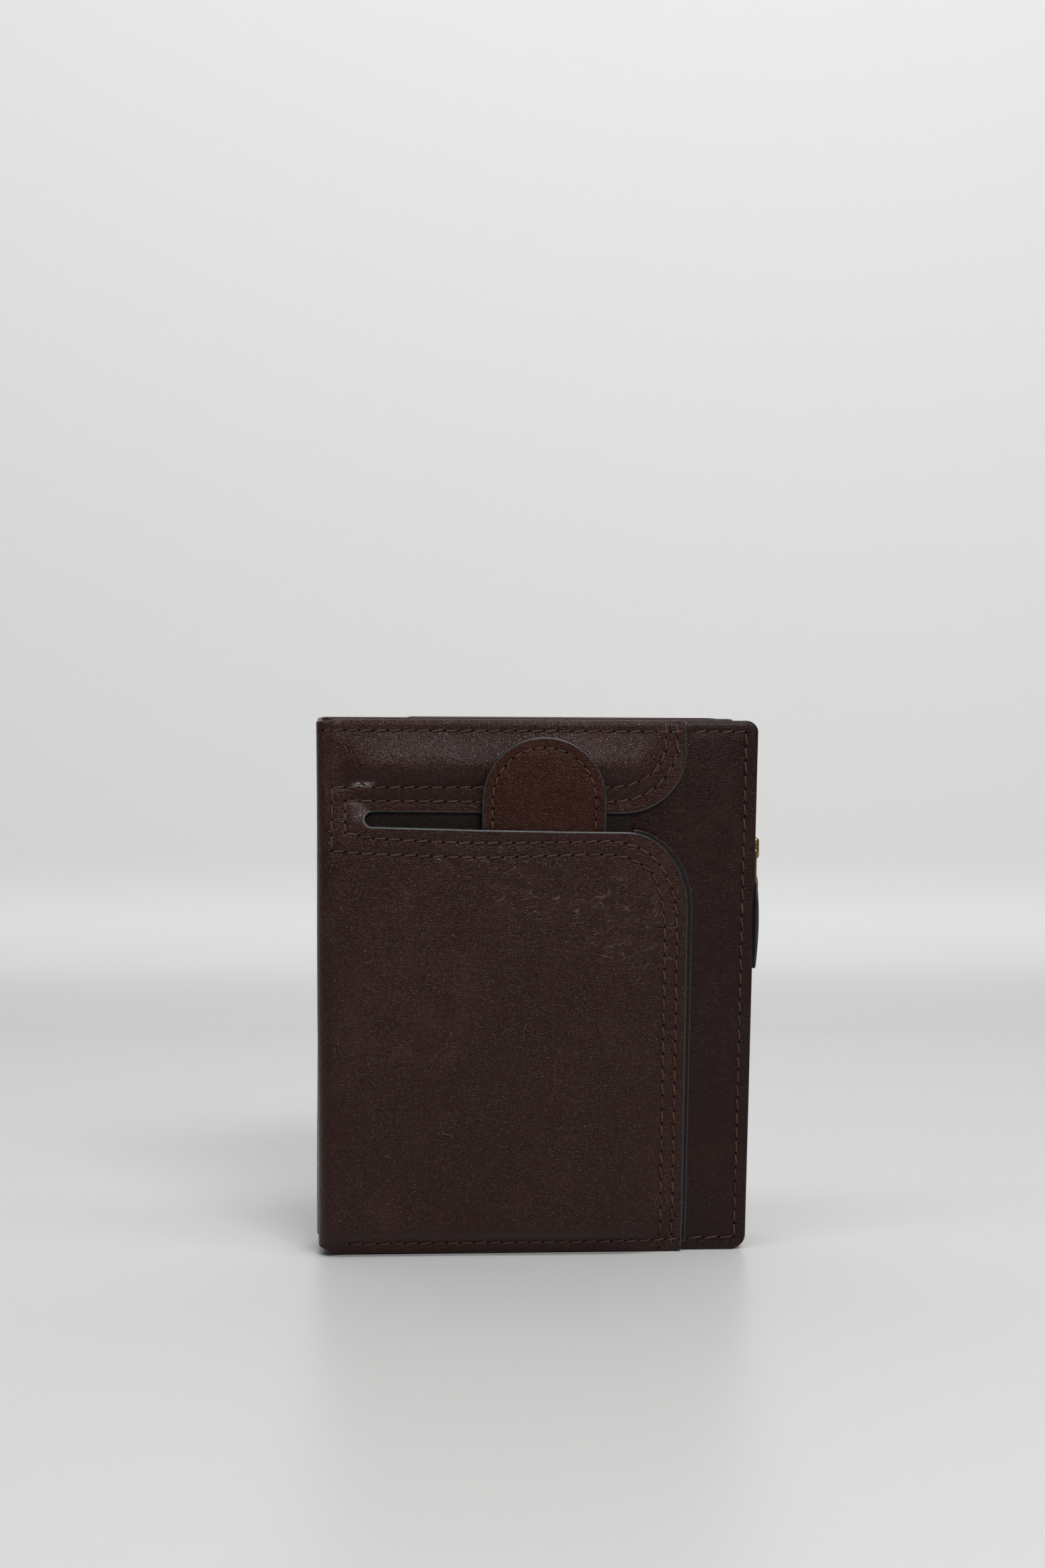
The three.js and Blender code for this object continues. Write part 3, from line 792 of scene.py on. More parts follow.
def shell_h(s, z):
    front = -(lobes_y(np.maximum(s, -49.5), z) - YF)
    f = S(-52.5, -43.5, s)
    rest = 0.06 * np.sin(z * 0.09 + s * 0.2) - 0.15
    return front * f + rest * (1 - f)


def foot(s):
    """The leather's lower edge lifts where it turns round the spine."""
    return 1.7 * S(-44.5, -50.5, s) * (1 - S(-62, -72, s)) + 0.15


def head(s):
    return COVER_H - 0.5 * S(-43, -50, s) + 0.7 * S(-55, -66, s)


# stitch rows on the overlay, as (x, z)
top_row = np.array(line((-49.3, 117.1), (33.4, 117.1)) + [(33.4, 117.1)])
foot_row = np.array(line((-42.3, 2.9), (34.6, 2.9)) + [(34.6, 2.9)])
up_out = np.concatenate(
    [np.array(line((-46.0, 104.5), (13.0, 104.6))), smooth_curve([(13.0, 104.6), (16.4, 104.7), (20.3, 105.0), (25.3, 107.2), (28.5, 110.9), (29.0, 114.0), (29.0, 119.0)])]
)
up_in = np.concatenate(
    [np.array(line((-43.0, 101.5), (13.0, 101.3))), smooth_curve([(13.0, 101.3), (16.4, 101.3), (21.2, 101.9), (25.6, 103.7), (29.2, 107.2), (31.3, 111.4), (31.6, 114.5), (31.6, 119.0)])]
)
col_out = np.array(line((-46.0, 90.6), (-46.0, 104.5)) + [(-46.0, 104.5)])
col_in = np.array(line((-43.0, 94.5), (-43.0, 101.5)) + [(-43.0, 101.5)])
low_in = np.concatenate(
    [
        smooth_curve([(-43.0, 94.5), (-38.0, 93.7), (-33.5, 93.2), (-23.0, 92.7), (-12.0, 92.4), (5.6, 92.6), (15.0, 92.8), (19.4, 92.6), (25.7, 89.9), (30.0, 84.4), (31.9, 77.9), (32.3, 70.0)])[:-1],
        np.array(line((32.3, 70.0), (32.5, 0.9)) + [(32.5, 0.9)]),
    ]
)
low_out = np.concatenate(
    [
        smooth_curve([(-46.0, 90.6), (-38.0, 90.0), (-30.0, 89.7), (-12.0, 89.2), (9.0, 89.8), (15.5, 89.9), (20.2, 89.3), (25.6, 86.4), (28.2, 81.4), (29.2, 76.3), (29.5, 70.0)])[:-1],
        np.array(line((29.5, 70.0), (29.7, 0.9)) + [(29.7, 0.9)]),
    ]
)
back_top = np.array(line((S_END + 4, 117.1), (-68, 117.1), 2.0) + [(-68, 117.1)])
back_foot = np.array(line((S_END + 4, 3.0), (-70, 3.0), 2.0) + [(-70, 3.0)])
def adj(p, k=0.65):
    p = np.array(p, float)
    p[:, 0] -= k * S(-30, 0, p[:, 0])
    return p


up_out, up_in, low_in, low_out = adj(up_out), adj(up_in), adj(low_in), adj(low_out)
foot_row[:, 0] = np.minimum(foot_row[:, 0], 34.0)
top_row[:, 0] = np.minimum(top_row[:, 0], 32.8)
foot_row, top_row = foot_row[foot_row[:, 0] < 33.99], top_row[top_row[:, 0] < 32.79]
rows_front = [top_row, foot_row, up_out, up_in, col_out, col_in, low_in, low_out]
rows_shell = rows_front + [back_top, back_foot]

shell = Surf(plan_shell, with_grooves(shell_h, rows_shell, 0.20), tap_shell)
o = []
o += [(s, foot(s)) for s in np.arange(S_END + 0.6, -72, 2.0)]
o += [(s, foot(s)) for s in np.arange(-72, 34.4, 0.8)]
o += [(34.85, 0.25), (35.05, 0.75)]
o += line((35.05, 1.4), (34.8, 76.5), 0.8)
o += arc(19.9, 77.5, 14.85, 17.5, 2, 90, 34)
o += line((19.9, 95.0), (5.6, 95.1), 0.7) + line((5.6, 95.1), (-12.0, 95.4), 0.7) + line((-12.0, 95.4), (-36.8, 96.02), 0.7)
o += arc(-37.1, 97.42, 1.4, 1.4, 270, 90, 12)
o += line((-36.9, 98.82), (19.7, 98.6), 0.7)
o += arc(19.5, 113.1, 14.55, 14.5, -90, 0, 30)
o += line((34.0, 113.4), (33.9, 118.9), 0.7)
o += [(33.8, 119.35), (33.3, float(head(33.3)))]
o += [(s, float(head(s))) for s in np.arange(32.6, -72, -0.8)]
o += [(s, float(head(s))) for s in np.arange(-72, S_END + 0.5, -2.0)]
o += [(S_END, float(head(S_END)) - 0.6)]
o += line((S_END, 118.4), (S_END, 1.2), 2.5) + [(S_END, 0.7)]


o = [tuple(q) for q in adj(o)]


def shell_cut(s, z):
    return ((s > -40.6) & (z > 1.0) & (z < 119.2)) | (s < S_END + 0.3)


overlay = sheet(
    "overlay_and_spine_leather",
    shell,
    o,
    [L_COVER, EDGE, SUEDE],
    1.1,
    0.85,
    rows=rows_front,
    rb=0.42,
    rim=0.52,
    cut=shell_cut,
    grids=[(-66.0, 40.0, 0.85), (S_END, -66.0, 2.2)],
)
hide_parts("cover_overlay", "left_spine_leather", "middle_outer_panel")
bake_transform(overlay)

PITCH = 3.15
over_st = stitches(
    "overlay_stitching",
    [
        (shell, top_row, PITCH),
        (shell, foot_row, PITCH),
        (shell, up_out, PITCH, 8),
        (shell, up_in, PITCH, 8),
        (shell, col_out, PITCH, 3),
        (shell, col_in, 2.6, 3),
        (shell, low_in, PITCH, 8),
        (shell, low_out, PITCH, 8),
    ],
    THREAD,
    HOLE_SHADE,
)
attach(over_st, "cover")
back_st = stitches("middle_back_stitching", [(shell, back_top, PITCH), (shell, back_foot, PITCH)], THREAD, HOLE_SHADE)
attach(back_st, "middle")

# backing layer: its edge stands just proud round the lower lobe
back_h = Surf(plan_front(0.0), lambda s, z: -np.minimum(lobes_y(np.minimum(s, 34.6), z) + 1.2, base_y(s, z) - 0.12), tap_cover)
b = line((21.2, 2.0), (35.0, 2.0), 0.9) + line((35.3, 2.0), (35.25, 77.0), 0.9) + arc(19.9, 77.5, 15.35, 18.0, 2, 84, 30) + line((21.4, 95.4), (21.2, 2.0), 1.2)
backing = sheet("backing_edge", back_h, b, [L_LIN_SHADE, EDGE, SUEDE], 0.45, 1.6, rb=0.15, rim=0.3)
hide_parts("overlay_backing")
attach(backing, "cover")

# ------------------------------------------------------------------ base panel
base_top = np.array(line((34.9, 117.1), (46.7, 117.1)) + [(46.7, 117.1)])
base_col = np.array(line((46.7, 117.1), (46.75, 2.9)) + [(46.75, 2.9)])
base_foot = np.array(line((46.75, 2.9), (36.0, 2.9)) + [(36.0, 2.9)])
rows_base = [base_top, base_col, base_foot]


def base_h(s, z):
    lip = 0.45 * S(45.8, 49.3, s) + 0.35 * S(1.8, 0, z) + 0.55 * S(117.7, 119.6, z)
    return -(base_y(s, z) - 4.3) - lip - undulate(s, z, 0.05) * S(21, 32, s)


base = Surf(plan_front(4.3), with_grooves(base_h, rows_base, 0.22), tap_cover)


def leaf_outline(x0, x1, z0, z1, rbr, rtr, step=0.8, coarse=3.0, fine_from=18.0):
    p = line((x0, z0), (fine_from, z0), coarse) + line((fine_from, z0), (x1 - rbr, z0), step)
    p += arc(x1 - rbr, z0 + rbr, rbr, rbr, -90, 0, 8) + line((x1, z0 + rbr), (x1, z1 - rtr), step)
    p += arc(x1 - rtr, z1 - rtr, rtr, rtr, 0, 90, 8) + line((x1 - rtr, z1), (fine_from, z1), step) + line((fine_from, z1), (x0, z1), coarse)
    p += line((x0, z1), (x0, z0), coarse)
    return p


base_panel = sheet(
    "base_panel_leather",
    base,
    leaf_outline(-45.8, 49.5, 0.0, COVER_H, 3.3, 2.6),
    [L_BASE, EDGE, SUEDE],
    1.15,
    0.9,
    rows=rows_base,
    rb=0.7,
    rim=0.8,
    cut=lambda s, z: s < -100,
    grids=[(17.0, 50.0, 0.9), (-46.0, 17.0, 3.0)],
)
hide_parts("cover_base_panel")
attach(base_panel, "cover")
base_st = stitches("base_panel_stitching", [(base, base_top, PITCH), (base, base_col, PITCH, 7), (base, base_foot, PITCH)], THREAD, HOLE_SHADE)
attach(base_st, "cover")

# ------------------------------------------------------------------ pull tab
tab_row = np.array(line((-10.3, 90.0), (-10.3, 101.9)) + arc(1.25, 101.9, 11.55, 11.55, 180, 0, 40) + line((12.8, 101.9), (12.8, 90.0)) + [(12.8, 90.0)])


def tab_h(s, z):
    cx, cz = (s - 1.25) / 14.0, (z - 101.9) / 14.0
    r = np.clip(1 - cx**2 - np.maximum(cz, 0) ** 2, 0, 1)
    own = 0.10 + 0.30 * r**1.2 - 0.45 * S(102, 115, z) + 0.05 * np.sin(s * 0.5 + z * 0.3)
    over = 1.42 - (lobes_y(s, np.maximum(z, 104.0)) - 1.02)
    k = S(97.0, 103.0, z)
    return np.maximum(own, over * k + own * (1 - k))


tab = Surf(plan_front(1.42), with_grooves(tab_h, [tab_row], 0.16), tap_cover)
t_out = line((-12.7, 80.6), (15.2, 80.6), 0.9) + line((15.2, 80.6), (15.2, 101.9), 0.8) + arc(1.25, 101.9, 13.95, 13.95, 0, 180, 60) + line((-12.7, 101.9), (-12.7, 80.6), 0.8)
pull = sheet("pull_tab_leather", tab, t_out, [L_TAB, EDGE, SUEDE], 0.78, 0.75, rows=[tab_row], rb=0.3, rim=0.5)
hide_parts("pull_tab")
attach(pull, "card_sleeve")
tab_st = stitches("pull_tab_stitching", [(tab, tab_row, 2.5, 6)], THREAD, HOLE_SHADE)
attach(tab_st, "card_sleeve")

# ------------------------------------------------------------------ inside of the cover leaf
def flat(y):
    return Surf(plan_front(0.0), lambda s, z: 0 * s - y + 0 * z, tap_cover)


def pocket_loop(x0, x1, z1, mirror=False, step=3.0):
    c = (x0 + x1) / 2
    p = line((x0, 2.0), (x1, 2.0), step) + line((x1, 2.0), (x1, z1), step) + line((x1, z1), (c + 14, z1), step)
    for k in range(13):
        t = k / 12
        p.append((c + 14 - 28 * t, z1 - 4.0 * 2 * t * (1 - t) * 1.0))
    p += line((c - 14 - step, z1), (x0, z1), step) + line((x0, z1), (x0, 2.0), step)
    return [(-x, z) for x, z in p] if mirror else p


def thin_edge(z, top):
    """Leaves get a little thinner where their seams are sewn down at the top and foot."""
    return 1 - S(0.0, 8.0, np.minimum(z, top - z))


def inner_h(s, z):
    return 10.3 - 1.3 * thin_edge(z, COVER_H) - 0.35 * S(45.5, 49.5, -s)


in_rows = [np.array(line((43.6, 117.0), (-46.9, 117.0)) + line((-46.9, 117.0), (-46.9, 2.8)) + line((-46.9, 2.8), (43.6, 2.8)) + [(43.6, 2.8)])]
inner = Surf(plan_back(0.0), with_grooves(inner_h, in_rows, 0.18), tap_cover)
io = [(-x, z) for x, z in leaf_outline(-45.8, 49.4, 0.15, COVER_H - 0.1, 3.3, 2.6, step=1.2, coarse=2.4, fine_from=-45.0)]
inner_panel = sheet("cover_inner_leather", inner, io, [L_IN, EDGE, SUEDE], 0.8, 2.6, rows=in_rows, rb=0.35, rim=0.5, cut=lambda s, z: s < -100)
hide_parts("cover_inner_panel")
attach(inner_panel, "cover")


def layers(z, tops, step=0.5):
    return sum(step * (z < t - 0.2) for t in tops)


def cover_pocket(k):
    return Surf(plan_back(0.0), lambda s, z: inner_h(s, z) + 0.5 * k + 0.10 * S(22, 0, abs(s + 0.6)) * S(0, 20, z), tap_cover)


for k, (node, top) in enumerate((("cover_card_pocket_upper", 102), ("cover_card_pocket_middle", 86), ("cover_card_pocket_lower", 70)), 1):
    sf = cover_pocket(k)
    loop = pocket_loop(-45.6, 46.8, top, True, 1.6)
    q = sheet(node + "_leather", sf, loop, [L_IN, EDGE, SUEDE], 0.45, 3.0, rb=0.16, rim=0.35)
    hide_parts(node)
    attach(q, "cover")
seam = Surf(plan_back(0.0), lambda s, z: inner_h(s, z) + layers(z, (102, 86, 70)), tap_cover)
seam_rows = [
    np.array(line((43.6, 117.0), (-46.9, 117.0)) + [(-46.9, 117.0)]),
    np.array(line((-44.6, 114.0), (-44.6, 3.0)) + [(-44.6, 3.0)]),
    np.array(line((-46.9, 2.8), (43.6, 2.8)) + [(43.6, 2.8)]),
    np.array(line((43.4, 101.0), (43.4, 3.4)) + [(43.4, 3.4)]),
]
in_st = stitches("cover_inner_stitching", [(seam, r, PITCH, 5) for r in seam_rows], THREAD, HOLE_SHADE)
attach(in_st, "cover")


# linings of the zipped pocket
def rect_loop(x0, x1, z0, z1, step=3.0):
    return line((x0, z0), (x1, z0), step) + line((x1, z0), (x1, z1), step) + line((x1, z1), (x0, z1), step) + line((x0, z1), (x0, z0), step)


for node, y in (("coin_pocket_front_lining", 5.62), ("coin_pocket_rear_lining", 9.25)):
    sf = Surf(plan_front(0.0), lambda s, z, y=y: -(y - (1.5 * thin_edge(z, COVER_H) if y > 8 else 0.0)) + 0.05 * np.sin(s * 0.3) * np.sin(z * 0.2), tap_cover)
    q = sheet(node + "_cloth", sf, rect_loop(-44, 44.4, 3, 117), [FABRIC, FABRIC, FABRIC], 0.18, 3.5, rb=0.06, rim=0.3)
    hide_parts(node)
    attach(q, "cover")

# ------------------------------------------------------------------ card sleeve
sb = sheet("card_sleeve_back_leather", flat(2.0), rect_loop(-38, 19.8, 6.6, 94.2, 2.0), [L_IN, EDGE, SUEDE], 0.5, 3.0, rb=0.2, rim=0.4)
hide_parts("card_sleeve_back")
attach(sb, "card_sleeve")
fo = line((-38, 6.6), (19.8, 6.6), 2) + line((19.8, 6.6), (19.8, 94.2), 2) + line((19.8, 94.2), (16.4, 94.2), 1.0) + line((16.4, 94.2), (16.4, 80), 1.5)
fo += line((16.4, 80), (-12.5, 80), 2) + line((-12.5, 80), (-12.5, 94.2), 1.5) + line((-12.5, 94.2), (-38, 94.2), 2) + line((-38, 94.2), (-38, 6.6), 2)
sfm = sheet("card_sleeve_frame_leather", flat(1.32), fo, [L_IN, EDGE, SUEDE], 0.38, 2.4, rb=0.14, rim=0.35, holes=[rect_loop(-32, 13.8, 13, 76, 2.0)])
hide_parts("card_sleeve_frame")
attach(sfm, "card_sleeve")

film = sheet("card_sleeve_window_film", flat(1.82), rect_loop(-34.0, 15.6, 11.0, 77.6, 3.0), [FILM, FILM, FILM], 0.12, 4.0, rb=0.04, rim=0.3)
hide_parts("card_sleeve_window")
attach(film, "card_sleeve")

# ------------------------------------------------------------------ middle leaf
for node, y, top in (("middle_card_pocket_upper", 13.6, 102), ("middle_card_pocket_middle", 13.1, 86), ("middle_card_pocket_lower", 12.6, 70)):
    sf = Surf(plan_front(0.0), lambda s, z, y=y: -y + 0.04 * np.sin(s * 0.12))
    q = sheet(node + "_leather", sf, pocket_loop(-45.6, 45.6, top, False, 1.6), [L_IN, EDGE, SUEDE], 0.42, 3.0, rb=0.15, rim=0.35)
    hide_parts(node)
    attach(q, "middle")

YM, YR2, XRR, RR = 14.1, 21.2, 48.5, 2.6
P0 = XRR - RR
P1 = P0 + math.pi * RR / 2
P2 = P1 + (YR2 - RR) - (YM + RR)
P3 = P2 + math.pi * RR / 2
P_END = P3 + (XRR - RR) + 31.0


def plan_inner(s):
    s = np.asarray(s, float)
    x, y = np.where(s <= P0, s, 0.0), np.full_like(s, YM)
    nx, ny = np.zeros_like(s), np.full_like(s, -1.0)
    a = (s - P0) / RR
    m = (s > P0) & (s <= P1)
    x, y = np.where(m, P0 + RR * np.sin(a), x), np.where(m, YM + RR - RR * np.cos(a), y)
    nx, ny = np.where(m, np.sin(a), nx), np.where(m, -np.cos(a), ny)
    m = (s > P1) & (s <= P2)
    x, y = np.where(m, XRR, x), np.where(m, YM + RR + (s - P1), y)
    nx, ny = np.where(m, 1.0, nx), np.where(m, 0.0, ny)
    a = (s - P2) / RR
    m = (s > P2) & (s <= P3)
    x, y = np.where(m, XRR - RR + RR * np.cos(a), x), np.where(m, YR2 - RR + RR * np.sin(a), y)
    nx, ny = np.where(m, np.cos(a), nx), np.where(m, np.sin(a), ny)
    m = s > P3
    x, y = np.where(m, XRR - RR - (s - P3), x), np.where(m, YR2, y)
    nx, ny = np.where(m, 0.0, nx), np.where(m, 1.0, ny)
    return x, y, nx, ny


def leaf_h(s, z):
    return -0.35 * thin_edge(z, 120.0) * S(P3, P3 + 8, s) - 0.08 - 0.10 * np.sin(z * 0.07 + s * 0.05) ** 2


leaf_rows = [
    np.array(line((P3 + 3, 117.3), (P_END - 2.8, 117.3)) + [(P_END - 2.8, 117.3)]),
    np.array(line((P_END - 2.8, 117.3), (P_END - 2.8, 2.8)) + [(P_END - 2.8, 2.8)]),
    np.array(line((P_END - 2.8, 2.8), (P3 + 3, 2.8)) + [(P3 + 3, 2.8)]),
]
mid_rows = [
    np.array(line((-43.0, 116.9), (43.6, 116.9)) + [(43.6, 116.9)]),
    np.array(line((43.6, 116.9), (43.6, 104.0)) + [(43.6, 104.0)]),
    np.array(line((-43.0, 2.9), (43.6, 2.9)) + [(43.6, 2.9)]),
]
leafs = Surf(plan_inner, with_grooves(leaf_h, leaf_rows + mid_rows, 0.18))
ltop = lambda s: 119.3 - 0.55 * float(S(P0 - 4, P0 + 1, s) * (1 - S(P3 - 1, P3 + 4, s))) + 0.65 * float(S(P3 - 1, P3 + 6, s))
lfoot = lambda s: 0.1 + 0.45 * float(S(P0 - 4, P0 + 1, s) * (1 - S(P3 - 1, P3 + 4, s)))
lo_ = [(s, lfoot(s)) for s in np.arange(-46.0, 40, 2.4)] + [(s, lfoot(s)) for s in np.arange(40, P3 + 6, 0.7)] + [(s, lfoot(s)) for s in np.arange(P3 + 6, P_END - 3, 1.6)]
lo_ += arc(P_END - 3, 3.1, 3, 3, -90, 0, 9) + line((P_END, 3.1), (P_END, 117.0), 1.6) + arc(P_END - 3, 116.95, 3, 3, 0, 90, 9)
lo_ += [(s, ltop(s)) for s in np.arange(P_END - 3, P3 + 6, -1.6)] + [(s, ltop(s)) for s in np.arange(P3 + 6, 40, -0.7)] + [(s, ltop(s)) for s in np.arange(40, -46.0, -2.4)]
lo_ += line((-46.0, 119.2), (-46.0, 0.2), 2.4)
leaf = sheet(
    "middle_and_rear_leather",
    leafs,
    lo_,
    [L_LEAF, EDGE, SUEDE],
    0.9,
    2.0,
    rows=leaf_rows + mid_rows,
    rb=0.42,
    rim=0.5,
    cut=lambda s, z: s < -45.9,
    grids=[(-46.0, 40.0, 3.0), (40.0, P3 + 6, 0.9), (P3 + 6, P_END, 2.0)],
)
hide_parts("middle_front_panel", "right_spine_leather", "leaf_outer_panel")
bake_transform(leaf)
mid_seam = Surf(plan_front(0.0), lambda s, z: -14.1 + layers(z, (102, 86, 70)) + 0.1)
ms = stitches(
    "middle_inner_stitching",
    [(mid_seam, r, PITCH, 5) for r in (mid_rows[0], mid_rows[2], np.array(line((43.6, 116.9), (43.6, 3.0)) + [(43.6, 3.0)]), np.array(line((-43.6, 101.0), (-43.6, 3.0)) + [(-43.6, 3.0)]))],
    THREAD,
    HOLE_SHADE,
)
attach(ms, "middle")


# slip pocket on the back of the rear leaf
def slip_top(x):
    t = (x + 31.0) / 77.2
    return 92.0 - 7.0 * 2 * t * (1 - t)


def slip_h(s, z):
    return 22.0 - 0.5 * thin_edge(z, 120.0) + 0.07 * np.sin(z * 0.08 + s * 0.06) - 0.25 * S(44.0, 46.2, -s)


slip_rows = [
    np.array([(-x, slip_top(x) - 2.4) for x in np.arange(-28.2, 44.6, 0.9)]),
    np.array(line((28.2, 89.0), (28.2, 2.8)) + [(28.2, 2.8)]),
    np.array(line((28.2, 2.8), (-43.6, 2.8)) + [(-43.6, 2.8)]),
    np.array(line((-43.6, 3.2), (-43.6, 89.0)) + [(-43.6, 89.0)]),
]
slip = Surf(plan_back(0.0), with_grooves(slip_h, slip_rows, 0.16))
sl = [(-x, 0.2) for x in np.arange(46.0, -28.4, -1.4)] + arc(28.4, 2.8, 2.6, 2.6, -90, 0, 8) + line((31.0, 2.8), (31.0, 91.8), 1.2)
sl += [(-x, slip_top(x)) for x in np.arange(-31.0, 46.0, 1.0)] + line((-46.0, 91.8), (-46.0, 0.2), 1.2)
slp = sheet("leaf_slip_pocket_leather", slip, sl, [L_COVER_BACK, EDGE, SUEDE], 0.75, 1.8, rows=slip_rows, rb=0.32, rim=0.45)
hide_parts("leaf_slip_pocket")
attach(slp, "rear_leaf")
sls = stitches("rear_leaf_stitching", [(slip, r, PITCH, 6) for r in slip_rows], THREAD, HOLE_SHADE)
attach(sls, "rear_leaf")
leaf_only = Surf(plan_inner, leaf_h)
lst = stitches("rear_leaf_top_stitching", [(leaf_only, leaf_rows[0], PITCH, 6), (leaf_only, np.array(line((P_END - 2.8, 117.3), (P_END - 2.8, 94.0)) + [(P_END - 2.8, 94.0)]), PITCH, 6)], THREAD, HOLE_SHADE)
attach(lst, "rear_leaf")

# window frame on the inner side of the rear leaf
wf_row = np.array(rect_loop(-24.4, 39.6, 23.6, 102.4, 1.0))
wf = Surf(plan_front(18.15), with_grooves(lambda s, z: 0 * s + 0 * z, [wf_row], 0.12))
wo = line((-28, 0.3), (45.6, 0.3), 1.8) + line((45.6, 0.3), (45.6, 119.7), 1.8) + line((45.6, 119.7), (-28, 119.7), 1.8) + arc(-28, 116.7, 3, 3, 90, 180, 8) + line((-31, 116.7), (-31, 3.3), 1.8) + arc(-28, 3.3, 3, 3, 180, 270, 8)
wfo = sheet("id_window_leather", wf, wo, [L_IN, EDGE, SUEDE], 0.65, 2.4, rows=[wf_row], rb=0.25, rim=0.45, holes=[rect_loop(-22, 37.2, 26, 100, 1.2)])
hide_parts("id_window_frame")
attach(wfo, "rear_leaf")
wst = stitches("id_window_stitching", [(wf, wf_row, PITCH, 5)], THREAD, HOLE_SHADE)
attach(wst, "rear_leaf")

# lining strip inside the left fold
lining_h = Surf(plan_shell, lambda s, z: shell_h(s, z) - 1.3, tap_shell)
fl = [(s, 2.4 + 1.2 * float(S(-44, -50, s) * (1 - S(-62, -70, s)))) for s in np.arange(S_SP3 - 1.5, SA + 2.2, 0.7)]
fl += [(SA + 2.2, z) for z in np.arange(3.2, 117.0, 1.6)]
fl += [(s, 117.6) for s in np.arange(SA + 2.2, S_SP3 - 1.5, -0.7)] + [(S_SP3 - 1.5, z) for z in np.arange(117.0, 3.2, -1.6)]
fold = sheet("left_fold_lining", lining_h, fl, [SUEDE, EDGE, L_IN], 0.4, 1.2, rb=0.15, rim=0.35)
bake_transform(fold)


# ------------------------------------------------------------------ metal parts
def bevelled(name, boxes, mat_, seg=2, c=0.12):
    """Rounded blocks, each given as (lo, hi) in mm, in one mesh."""
    bm = bmesh.new()
    for lo, hi in boxes:
        lo, hi = np.array(lo), np.array(hi)
        r = bmesh.ops.create_cube(bm, size=1.0)
        vs = r["verts"]
        for v in vs:
            v.co = Vector((lo + hi) / 2) + Vector(np.array(v.co) * (hi - lo))
        es = list({e for v in vs for e in v.link_edges})
        bmesh.ops.bevel(bm, geom=es, offset=c, offset_type="OFFSET", segments=seg, profile=0.6, affect="EDGES", clamp_overlap=True)
    vs = np.array([tuple(v.co) for v in bm.verts])
    bm.verts.index_update()
    fs = [tuple(v.index for v in f.verts) for f in bm.faces]
    bm.free()
    return make_object(name, vs, fs, [mat_], [0] * len(fs), vs)


front_t, rear_t = [], []
z = 14.3
while z + 0.8 < 94.2:
    front_t.append(((45.7, 6.32, z), (47.0, 7.9, z + 0.82)))
    if z + 1.8 < 94.2:
        rear_t.append(((45.7, 7.1, z + 1.0), (47.0, 8.68, z + 1.82)))
    z += 2.0
front_t.append(((45.75, 6.3, 13.9), (46.6, 6.75, 94.2)))
rear_t.append(((45.75, 8.25, 13.9), (46.6, 8.7, 94.2)))
for nm, bx in (("zip_teeth_front", front_t), ("zip_teeth_rear", rear_t)):
    q = bevelled(nm + "_metal", bx, BRASS, 2, 0.16)
    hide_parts(nm)
    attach(q, "cover")
for nm, z0, z1 in (("zip_top_stop", 94.7, 96.7), ("zip_bottom_stop", 11.2, 13.6)):
    q = bevelled(nm + "_metal", [((45.65, 6.2, z0), (47.15, 8.8, z1))], BRASS, 3, 0.35)
    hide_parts(nm)
    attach(q, "cover")


def tube(path, radii, K=12, closed=False):
    """A bar with an elliptic section (ru across the path's plane, rv in it)."""
    path = np.array(path, float)
    n = len(path)
    V, F = [], []
    nxt = np.roll(path, -1, 0) - np.roll(path, 1, 0)
    if not closed:
        nxt[0], nxt[-1] = path[1] - path[0], path[-1] - path[-2]
    nxt /= np.linalg.norm(nxt, axis=1)[:, None]
    c = path.mean(0)
    nn = np.cross(path[0] - c, path[n // 3] - c)
    nn /= np.linalg.norm(nn)
    for i in range(n):
        side = np.cross(nn, nxt[i])
        ru, rv = radii(i / (n - 1)) if callable(radii) else radii
        for j in range(K):
            a = 2 * math.pi * j / K
            V.append(path[i] + nn * math.cos(a) * ru + side * math.sin(a) * rv)
    m = n if closed else n - 1
    for i in range(m):
        i2 = (i + 1) % n
        for j in range(K):
            j2 = (j + 1) % K
            F.append((i * K + j, i * K + j2, i2 * K + j2, i2 * K + j))
    if not closed:
        F.append(tuple(reversed(range(K))))
        F.append(tuple((n - 1) * K + j for j in range(K)))
    return V, F


def join(parts):
    V, F = [], []
    for v, f in parts:
        k = len(V)
        V += [tuple(a) for a in v]
        F += [tuple(i + k for i in t) for t in f]
    return V, F


def fix_winding(V, F):
    bm = bmesh.new()
    vs = [bm.verts.new(v) for v in V]
    for f in F:
        bm.faces.new([vs[i] for i in f])
    bmesh.ops.recalc_face_normals(bm, faces=bm.faces)
    bm.verts.index_update()
    out = [tuple(v.index for v in f.verts) for f in bm.faces]
    bm.free()
    return out


def box_part(lo, hi, c=0.2, seg=3):
    bm = bmesh.new()
    lo, hi = np.array(lo), np.array(hi)
    for v in bmesh.ops.create_cube(bm, size=1.0)["verts"]:
        v.co = Vector((lo + hi) / 2) + Vector(np.array(v.co) * (hi - lo))
    bmesh.ops.bevel(bm, geom=list(bm.edges), offset=c, offset_type="OFFSET", segments=seg, profile=0.55, affect="EDGES", clamp_overlap=True)
    bm.verts.index_update()
    V = [tuple(v.co) for v in bm.verts]
    F = [tuple(v.index for v in f.verts) for f in bm.faces]
    bm.free()
    return V, F


